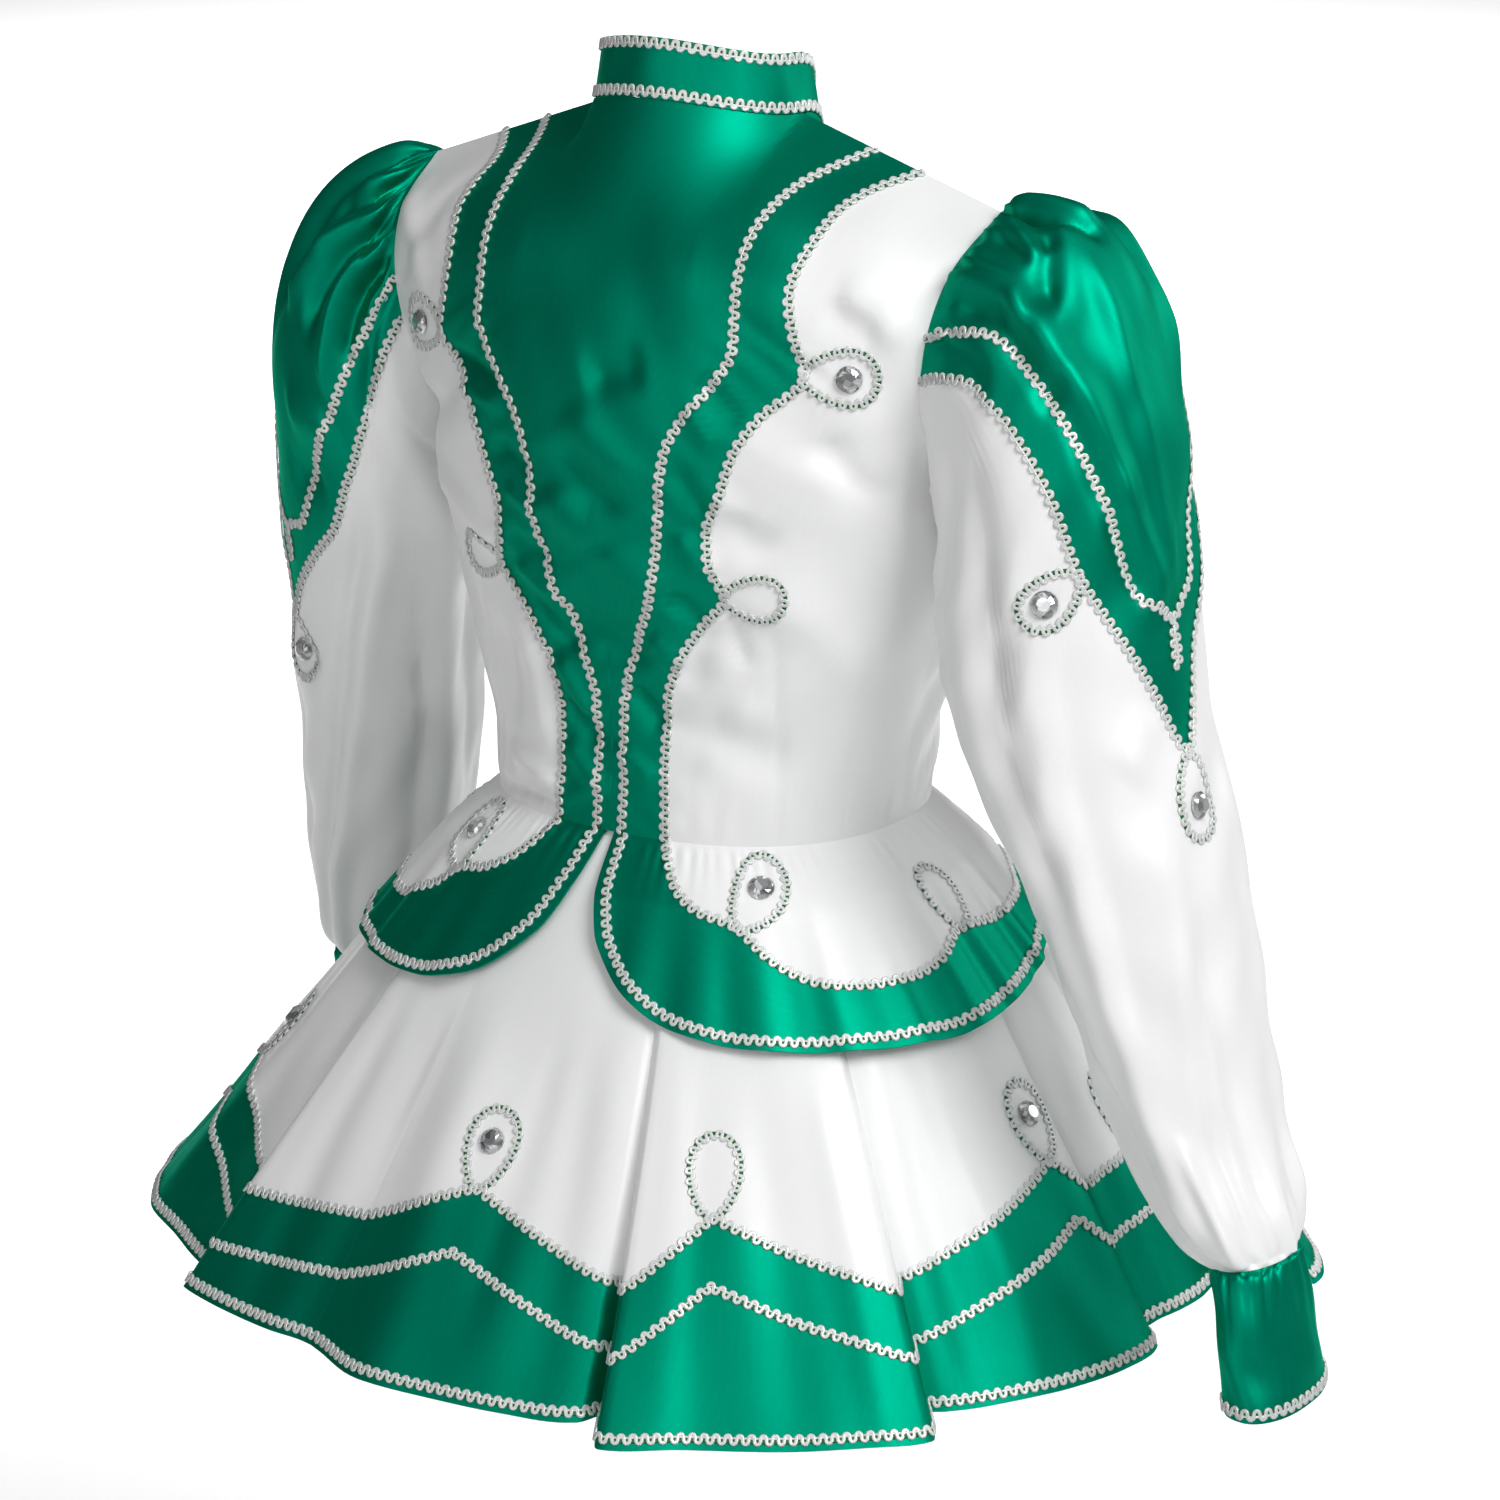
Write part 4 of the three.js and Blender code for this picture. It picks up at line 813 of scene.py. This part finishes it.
def make_bodice():
    """Back and front panels between their seam lines."""
    up = np.linspace(0, 1, 98)
    inner, outer, front = (line_across(line, up) for line in (INNER_LINE, OUTER_LINE, FRONT_LINE))
    zero, one = np.zeros_like(up), np.ones_like(up)
    panels = [("back_band_", BACK, inner, outer, 22, GREEN), ("back_side_", BACK, outer, one, 50, WHITE),
              ("front_centre_", FRONT, zero, front, 36, GREEN), ("front_side_", FRONT, front, one, 40, WHITE)]
    cloth("back_centre", BACK, between(-inner, inner, np.linspace(0, 1, 61)), up[:, None], GREEN)
    for name, side in (("left", 1), ("right", -1)):
        for word, form, low, high, columns, finish in panels:
            across = between(side * low, side * high, np.linspace(0, 1, columns))
            cloth(word + name, form, across, up[:, None], finish)


def make_collar():
    turn = np.linspace(-179.7, 179.7, 130)[None]
    cloth("collar", COLLAR, turn, np.linspace(0, 1, 12)[:, None], GREEN)


def peplum_lines(first, last, count):
    """The columns of the peplum's table at even places from one row to another."""
    rows = np.arange(PEPLUM_END + 1)
    return {k: smooth_curve(rows, v, np.linspace(first, last, count)) for k, v in PEPLUM_ROWS.items()}


def make_peplum():
    """The green border between its sewn line and its free edge, and the white panel above it, whose
    side by the centre back follows the line's start."""
    line = peplum_lines(0, PEPLUM_END, 150)
    start = peplum_lines(0, PEPLUM_CORNER, 24)
    foot = peplum_lines(PEPLUM_CORNER, PEPLUM_END, 130)
    shares = np.linspace(0, 1, 22)
    down = start["line_drop"] / start["line_drop"][-1]
    first, last = PEPLUM_ROWS["line_angle"][[0, -1]]
    corner = start["line_angle"][-1]
    top = first + (last - first) * (foot["line_angle"] - corner) / (last - corner)
    straight = between(top, foot["line_angle"], down)
    near = np.exp(-np.arange(130) / 4)[:, None]
    angle = straight + (start["line_angle"] - straight[0]) * near
    for name, side in (("left", -1), ("right", 1)):
        cloth("peplum_border_" + name, PEPLUM, side * between(line["line_angle"], line["edge_angle"], shares),
              between(line["line_drop"], line["edge_drop"], shares), GREEN)
        cloth("peplum_panel_" + name, PEPLUM, side * angle, between(np.zeros(130), foot["line_drop"], down),
              WHITE)


def band_height(index, across):
    """Drop at which the green hem band begins: from each seam it sweeps up to the gore's point."""
    peak = (GORES["point"][index] - GORE_ENDS[index]) / (GORE_ENDS[index + 1] - GORE_ENDS[index])
    rise = np.where(across < peak, across / peak, (1 - across) / (1 - peak))
    near, far = GORES["band_at_seam"][[index, (index + 1) % GORE_COUNT]]
    low = np.where(across < peak, near, far)
    return low + (GORES["band_at_point"][index] - low) * rise


def gore_places(index, steep, flat, clear):
    """Places across a gore, close together over its steep sides, and their angles, of which the end
    ones stay clear of the seams by so many degrees."""
    low, high = SEAM_SHARE, 1 - SEAM_SHARE
    across = np.concatenate([np.linspace(0, low, steep), np.linspace(low, high, flat)[1:-1],
                             np.linspace(high, 1, steep)])
    angle = GORE_ENDS[index] + (GORE_ENDS[index + 1] - GORE_ENDS[index]) * across
    angle[[0, -1]] += (clear, -clear)
    return across, angle


def make_skirt():
    """Twelve gores, each with its green band below a line that rises to a point."""
    for index in range(GORE_COUNT):
        across, angle = gore_places(index, 8, 34, CLOTH_GAP)
        top = band_height(index, across)
        upper = between(np.zeros(48), top, np.linspace(0, 1, 44)).T
        lower = between(top, np.ones(48), np.linspace(0, 1, 22)).T
        cloth(f"skirt_gore_{index + 1}", SKIRT, angle[None], upper, WHITE)
        cloth(f"skirt_band_{index + 1}", SKIRT, angle[None], lower, GREEN)


def line_rows(line, angle):
    """Rows of a sleeve line that is given from its tip round one side, and is the same round the other."""
    return smooth_curve(np.concatenate([-line["angle"][:0:-1], line["angle"]]),
                        np.concatenate([line["row"][:0:-1], line["row"]]), angle)


def full_turn(count):
    return np.arange(count) * 360 / count - 180


def make_sleeves():
    """Cap, band and lower sleeve between the two pointed lines, and the cuff."""
    share, across = np.linspace(-1, 1, 113), np.linspace(0, 1, 16)
    cap_angle, band_angle, angle = CAP_EDGE * share, BAND_EDGE * share, full_turn(116)
    cap_row, band_row = line_rows(CAP_LINE, cap_angle), line_rows(BAND_LINE, band_angle)
    foot = line_rows(BAND_LINE, np.clip(angle, -BAND_EDGE, BAND_EDGE))
    start = np.where(abs(angle) < BAND_EDGE, foot, 0)
    cap_rows = between(np.zeros(113), cap_row, np.linspace(0, 1, 72)).T
    lower_rows = between(start, np.full(116, SLEEVE_END), np.linspace(0, 1, 108)).T
    for name, form in SLEEVES.items():
        cloth("sleeve_cap_" + name, form, cap_rows, cap_angle[None], GREEN)
        cloth("sleeve_band_" + name, form, between(cap_row, band_row, across).T,
              between(cap_angle, band_angle, across).T, GREEN)
        cloth("sleeve_lower_" + name, form, lower_rows, angle[None], WHITE, wrap=True)
        cloth("cuff_" + name, CUFFS[name], np.linspace(0, CUFF_END, 26)[:, None], full_turn(96)[None], GREEN,
              wrap=True)


# ---------------------------------------------------------------- braid, loops and stones

def resample(points, normals, spacing):
    """The same path at even steps of about the given spacing."""
    travelled = edge_lengths(points, 0)
    count = max(2, int(round(travelled[-1] / spacing)) + 1)
    even = np.linspace(0, travelled[-1], count)
    carry = lambda values: np.stack([np.interp(even, travelled, values[:, k]) for k in range(3)], -1)
    return carry(points), unit(carry(normals)), even


CORD = np.array([(-1, 0), (-0.55, 0.95), (0, 0.42), (0.55, 0.95), (1, 0)]) * (BRAID_CORD, BRAID_HEIGHT)
CORE_STRIP = np.array([(-2.2, 0), (-1.9, 0.45), (0.1, 0.45), (0.4, 0)]) * MM
INNER_STRIP = np.array([(0.1, 0), (0.35, 0.75), (1.15, 0.75), (1.5, 0)]) * MM


def closed_sweep(points, normals, profile):
    """A profile (sideways, height) carried along a path, each end closed by a point in its middle."""
    side = unit(np.cross(normals, unit(np.gradient(points, axis=0))))
    ring = points[:, None] + side[:, None] * profile[None, :, :1] + normals[:, None] * profile[None, :, 1:]
    rows, columns = ring.shape[:2]
    first, tail = rows * columns, (rows - 1) * columns
    j = np.arange(columns)
    k = (j + 1) % columns
    cap = np.stack([np.full(columns, first), j, k], -1)
    cup = np.stack([np.full(columns, first + 1), tail + k, tail + j], -1)
    return (np.concatenate([ring.reshape(-1, 3), ring[[0, -1]].mean(axis=1)]),
            grid_faces(rows, columns, True)[:, ::-1], np.concatenate([cap, cup]))


def scroll(points, normals, size):
    """The scroll braid's centre line: along by s - 0.08 w sin 4 pi s / w, aside by a sin 2 pi s / w."""
    wave = BRAID_WAVE * size
    path, normal, along = resample(points, normals, wave / BRAID_STEPS)
    turns = max(1, round(along[-1] / wave))
    phase = 2 * math.pi * turns * along / along[-1]
    tangent = unit(np.gradient(path, axis=0))
    side = np.cross(normal, tangent)
    slip = -0.08 * wave * np.sin(2 * phase)
    return path + side * (BRAID_SWING * size * np.sin(phase))[:, None] + tangent * slip[:, None], normal


class Trim:
    """Gathers braid, its green core and stones for one part of the dress, and makes them as pieces."""

    def __init__(self, name):
        self.name = name
        self.parts = {"braid": [], "core": [], "stones": []}

    def add(self, kind, points, *face_sets):
        self.parts[kind].append((points, face_sets))

    def braid(self, form, p, q, size=1.0):
        """The scroll, a white strip under one side of its turns and the green core under the other."""
        points, normals = form.point(p, q, 0.2 * MM), form.normal(p, q)
        self.add("braid", *closed_sweep(*scroll(points, normals, size), CORD * (size, 1)))
        path, normal, _ = resample(points, normals, STRIP_STEP)
        self.add("braid", *closed_sweep(path, normal, INNER_STRIP * size))
        self.add("core", *closed_sweep(path, normal, CORE_STRIP * size))

    def loop(self, form, p, q, heading, length, width, stone):
        """A pear-shaped loop from its foot at (p, q): out by L (1 - cos t) / 2 and aside by W sin t,
        narrowed near the foot. Heading is its turn from the form's p direction."""
        t = np.linspace(0, 2 * math.pi, 61)
        ahead = length * (1 - np.cos(t)) / 2
        aside = width * np.sin(t) * (0.34 + 0.26 * ahead / length)
        self.braid(form, *flat_to_form(form, p, q, heading, ahead, aside), LOOP_SIZE)
        if stone:
            place = flat_to_form(form, p, q, heading, np.array([length * 0.60]), np.array([0.0]))
            self.stone(form.point(*place, 0.3 * MM)[0], form.normal(*place)[0])

    def stone(self, centre, normal):
        """A round stone: an upright girdle, two rows of crown facets and a flat table, over a flat seat."""
        side = unit(np.cross(normal, (0.31, 0.17, 0.93)))
        other = np.cross(normal, side)
        n = STONE_SIDES
        rings = []
        for radius, height, turn in ((1.0, 0.0, 0), (1.0, 0.16, 0), (0.80, 0.40, 0.5), (0.50, 0.56, 0)):
            angle = (np.arange(n) + turn) * 2 * math.pi / n
            swing = np.cos(angle)[:, None] * side + np.sin(angle)[:, None] * other
            rings.append(centre + STONE_RADIUS * (radius * swing + height * normal))
        table = centre + normal * height * STONE_RADIUS
        j = np.arange(n)
        k = (j + 1) % n
        faces = []
        for low in (0, n, 2 * n):
            high = low + n
            faces += [np.stack([low + j, low + k, high + j], -1), np.stack([low + k, high + k, high + j], -1)]
        faces.append(np.stack([3 * n + j, 3 * n + k, np.full(n, 4 * n)], -1))
        faces.append(np.stack([k, j, np.full(n, 4 * n + 1)], -1))
        self.add("stones", np.concatenate([*rings, table[None], centre[None]]), np.concatenate(faces))

    def make(self):
        for kind, (material, slot) in (("braid", THREAD), ("core", CORE), ("stones", STONE)):
            faces, start = {4: [], 3: []}, 0
            for points, face_sets in self.parts[kind]:
                for some in face_sets:
                    faces[some.shape[1]] += (some + start).tolist()
                start += len(points)
            if not start:
                continue
            points = np.concatenate([points for points, _ in self.parts[kind]])
            piece = make_object(f"{self.name}_{kind}", points, faces[4] + faces[3], material,
                                smooth=kind != "stones")
            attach(piece, "root")


def flat_to_form(form, p, q, heading, ahead, aside):
    """Offsets in metres on the cloth, turned by heading degrees from the p direction, as p and q."""
    step_p, step_q = form.step
    p, q = np.array([float(p)]), np.array([float(q)])
    along_p = (form.surface(p + step_p, q) - form.surface(p - step_p, q))[0] / (2 * step_p)
    along_q = (form.surface(p, q + step_q) - form.surface(p, q - step_q))[0] / (2 * step_q)
    first = unit(along_p)
    second = unit(along_q - first * (along_q @ first))
    turn = math.radians(heading)
    x = ahead * math.cos(turn) - aside * math.sin(turn)
    y = ahead * math.sin(turn) + aside * math.cos(turn)
    dq = y / (along_q @ second)
    return p + (x - dq * (along_q @ first)) / (along_p @ first), q + dq


def trim_bodice():
    """Braid on the seam lines of the back and front, and two loops on the points of each outer line."""
    trim = Trim("bodice")
    up = np.linspace(0.0, 1, 300)
    for side in (1, -1):
        trim.braid(BACK, side * np.maximum(line_across(INNER_LINE, up), CENTRE_GAP), up)
        trim.braid(BACK, side * line_across(OUTER_LINE, up), up)
        trim.braid(FRONT, side * line_across(FRONT_LINE, up), up)
        upper = 178 if side < 0 else 2
        trim.loop(BACK, side * 0.632, 0.73, upper, 42 * MM, 30 * MM, True)
        trim.loop(BACK, side * 0.288, 0.385, upper, 35 * MM, 25 * MM, False)
    trim.make()


def trim_collar():
    """Braid near the collar's foot and along its top, open at the centre front."""
    trim = Trim("collar")
    turn = np.linspace(-178, 178, 260)
    for rise in COLLAR_BRAIDS:
        trim.braid(COLLAR, turn, np.full(260, rise))
    trim.make()


def trim_peplum():
    """Braid on the sewn line and just inside the free edge, and the loops over the white panels."""
    trim = Trim("peplum")
    line = peplum_lines(0.02, PEPLUM_END, 500)
    inset = 0.022
    out_angle = line["edge_angle"] - line["line_angle"]
    out_drop = line["edge_drop"] - line["line_drop"]
    share = 1 - inset / np.maximum(np.hypot(out_angle / 100, out_drop), 0.05)
    near_angle, near_drop = line["line_angle"] + out_angle * share, line["line_drop"] + out_drop * share
    for side in (1, -1):
        trim.braid(PEPLUM, side * line["line_angle"], line["line_drop"])
        trim.braid(PEPLUM, side * near_angle, near_drop)
        trim.loop(PEPLUM, side * 32.5, 0.133, -90 + side * 30, 44 * MM, 32 * MM, True)
        trim.loop(PEPLUM, side * 86.0, 0.183, -90 - side * 4, 40 * MM, 26 * MM, False)
    trim.make()


def trim_skirt():
    """Braid along the top, the middle and the foot of the green band, gore by gore, and a loop on each
    point but one, every second one with a stone."""
    trims = [Trim(f"skirt_{word}") for word in ("top", "middle", "hem")]
    for index in range(GORE_COUNT):
        across, angle = gore_places(index, 12, 90, BRAID_GAP)
        top = band_height(index, across)
        for trim, drop in zip(trims, (top, top + MIDDLE_BRAID, np.full(len(angle), HEM_BRAID))):
            trim.braid(SKIRT, angle, drop)
        if index != PLAIN_GORE:
            trims[0].loop(SKIRT, GORES["point"][index], GORES["band_at_point"][index], -90, 46 * MM, 30 * MM,
                          index % 2 == 1)
    for trim in trims:
        trim.make()


def trim_sleeves():
    """Braid on both pointed lines and the cuff, a stone's loop and a small tail at the tips, and side
    loops: the left sleeve's back has none."""
    for name, form in SLEEVES.items():
        trim = Trim("sleeve_" + name)
        for line, edge in ((CAP_LINE, CAP_EDGE), (BAND_LINE, BAND_EDGE)):
            angle = np.linspace(-edge, edge, 400)
            trim.braid(form, np.maximum(line_rows(line, angle), ARMHOLE_GAP), angle)
        trim.loop(form, 6.27, 0.0, 0, 46 * MM, 30 * MM, True)
        trim.loop(form, 5.42, 0.0, 0, 22 * MM, 5 * MM, False)
        for side in (1, -1) if name == "right" else (-1,):
            trim.loop(form, 4.80, side * 45.0, side * 54, 38 * MM, 27 * MM, True)
        trim.braid(CUFFS[name], np.full(200, CUFF_BRAID), np.linspace(-180, 180, 200))
        trim.make()


# ---------------------------------------------------------------- floor, light and camera

def make_stage():
    """A plain pale floor below where the wearer would stand, and a faint even light all round."""
    size, height = 14.0, -1.42
    corners = np.array([(x * size, y * size, height) for x, y in ((-1, -1), (1, -1), (1, 1), (-1, 1))])
    material, _, shader = new_material("pale floor")
    set_inputs(shader, Base_Color=(0.93, 0.93, 0.93, 1), Roughness=0.9, Emission_Color=(1, 1, 1, 1),
               Emission_Strength=0.12)
    floor = make_object("floor", corners, [(0, 1, 2, 3)], material)
    world = bpy.data.worlds.new("studio")
    world.use_nodes = True
    set_inputs(world.node_tree.nodes["Background"], Color=(1, 1, 1, 1), Strength=0.1)
    bpy.context.scene.world = world


HEADING = math.radians(34.76)
DISTANCE, HEIGHT = 2.3764, 0.3570
AIM_ASIDE, AIM_Z = 0.0207, -0.3718
ROLL = math.radians(-0.41)
LENS = 103.77
EYE = Vector((-DISTANCE * math.sin(HEADING), DISTANCE * math.cos(HEADING), HEIGHT))
TO_RIGHT = Vector((-math.cos(HEADING), -math.sin(HEADING), 0))


def make_camera():
    camera = bpy.data.objects.new("camera", bpy.data.cameras.new("camera"))
    bpy.context.scene.collection.objects.link(camera)
    target = Vector((0, 0, AIM_Z)) + TO_RIGHT * AIM_ASIDE
    ahead = (target - EYE).normalized()
    level = ahead.cross(Vector((0, 0, 1))).normalized()
    upright = level.cross(ahead)
    right = level * math.cos(ROLL) + upright * math.sin(ROLL)
    above = upright * math.cos(ROLL) - level * math.sin(ROLL)
    camera.matrix_world = Matrix((right, above, -ahead)).transposed().to_4x4()
    camera.location = EYE
    camera.data.lens = LENS
    camera.data.sensor_width = 36
    bpy.context.scene.camera = camera


def studio_place(right, up, back):
    """A place given from the dress's middle in metres along the camera's right, up and towards it."""
    towards = Vector((EYE.x, EYE.y, 0)).normalized()
    return Vector((0, 0, -0.35)) + TO_RIGHT * right + towards * back + Vector((0, 0, up))


def add_light(name, place, size, power, aim=(0, 0, 0)):
    """A square soft light that faces a place, the dress's middle if none is given."""
    lamp = bpy.data.lights.new(name, "AREA")
    lamp.shape, lamp.size, lamp.energy = "SQUARE", size, power
    light = bpy.data.objects.new(name, lamp)
    bpy.context.scene.collection.objects.link(light)
    light.location = studio_place(*place)
    light.rotation_euler = (light.location - studio_place(*aim)).to_track_quat("Z", "Y").to_euler()


def make_lights():
    """A key from the right and above, fainter lights round the dress, and two panels for the floor behind."""
    add_light("key", (1.35, 1.95, 1.85), 1.4, 62)
    add_light("fill", (-1.3, 0.8, 2.4), 2.2, 21)
    add_light("top", (0.0, 2.6, 0.7), 1.8, 7)
    add_light("side", (2.0, 0.9, -0.7), 1.2, 13)
    add_light("backdrop near", (0, 2.0, -3.2), 4, 200, (0, -1.07, -5.4))
    add_light("backdrop far", (0, 2.2, -8.0), 6, 420, (0, -1.07, -10.0))


make_camera()
make_lights()
make_stage()
make_collar()
make_bodice()
make_peplum()
make_skirt()
make_sleeves()
trim_collar()
trim_bodice()
trim_peplum()
trim_skirt()
trim_sleeves()
bpy.context.scene.view_settings.view_transform = "Standard"
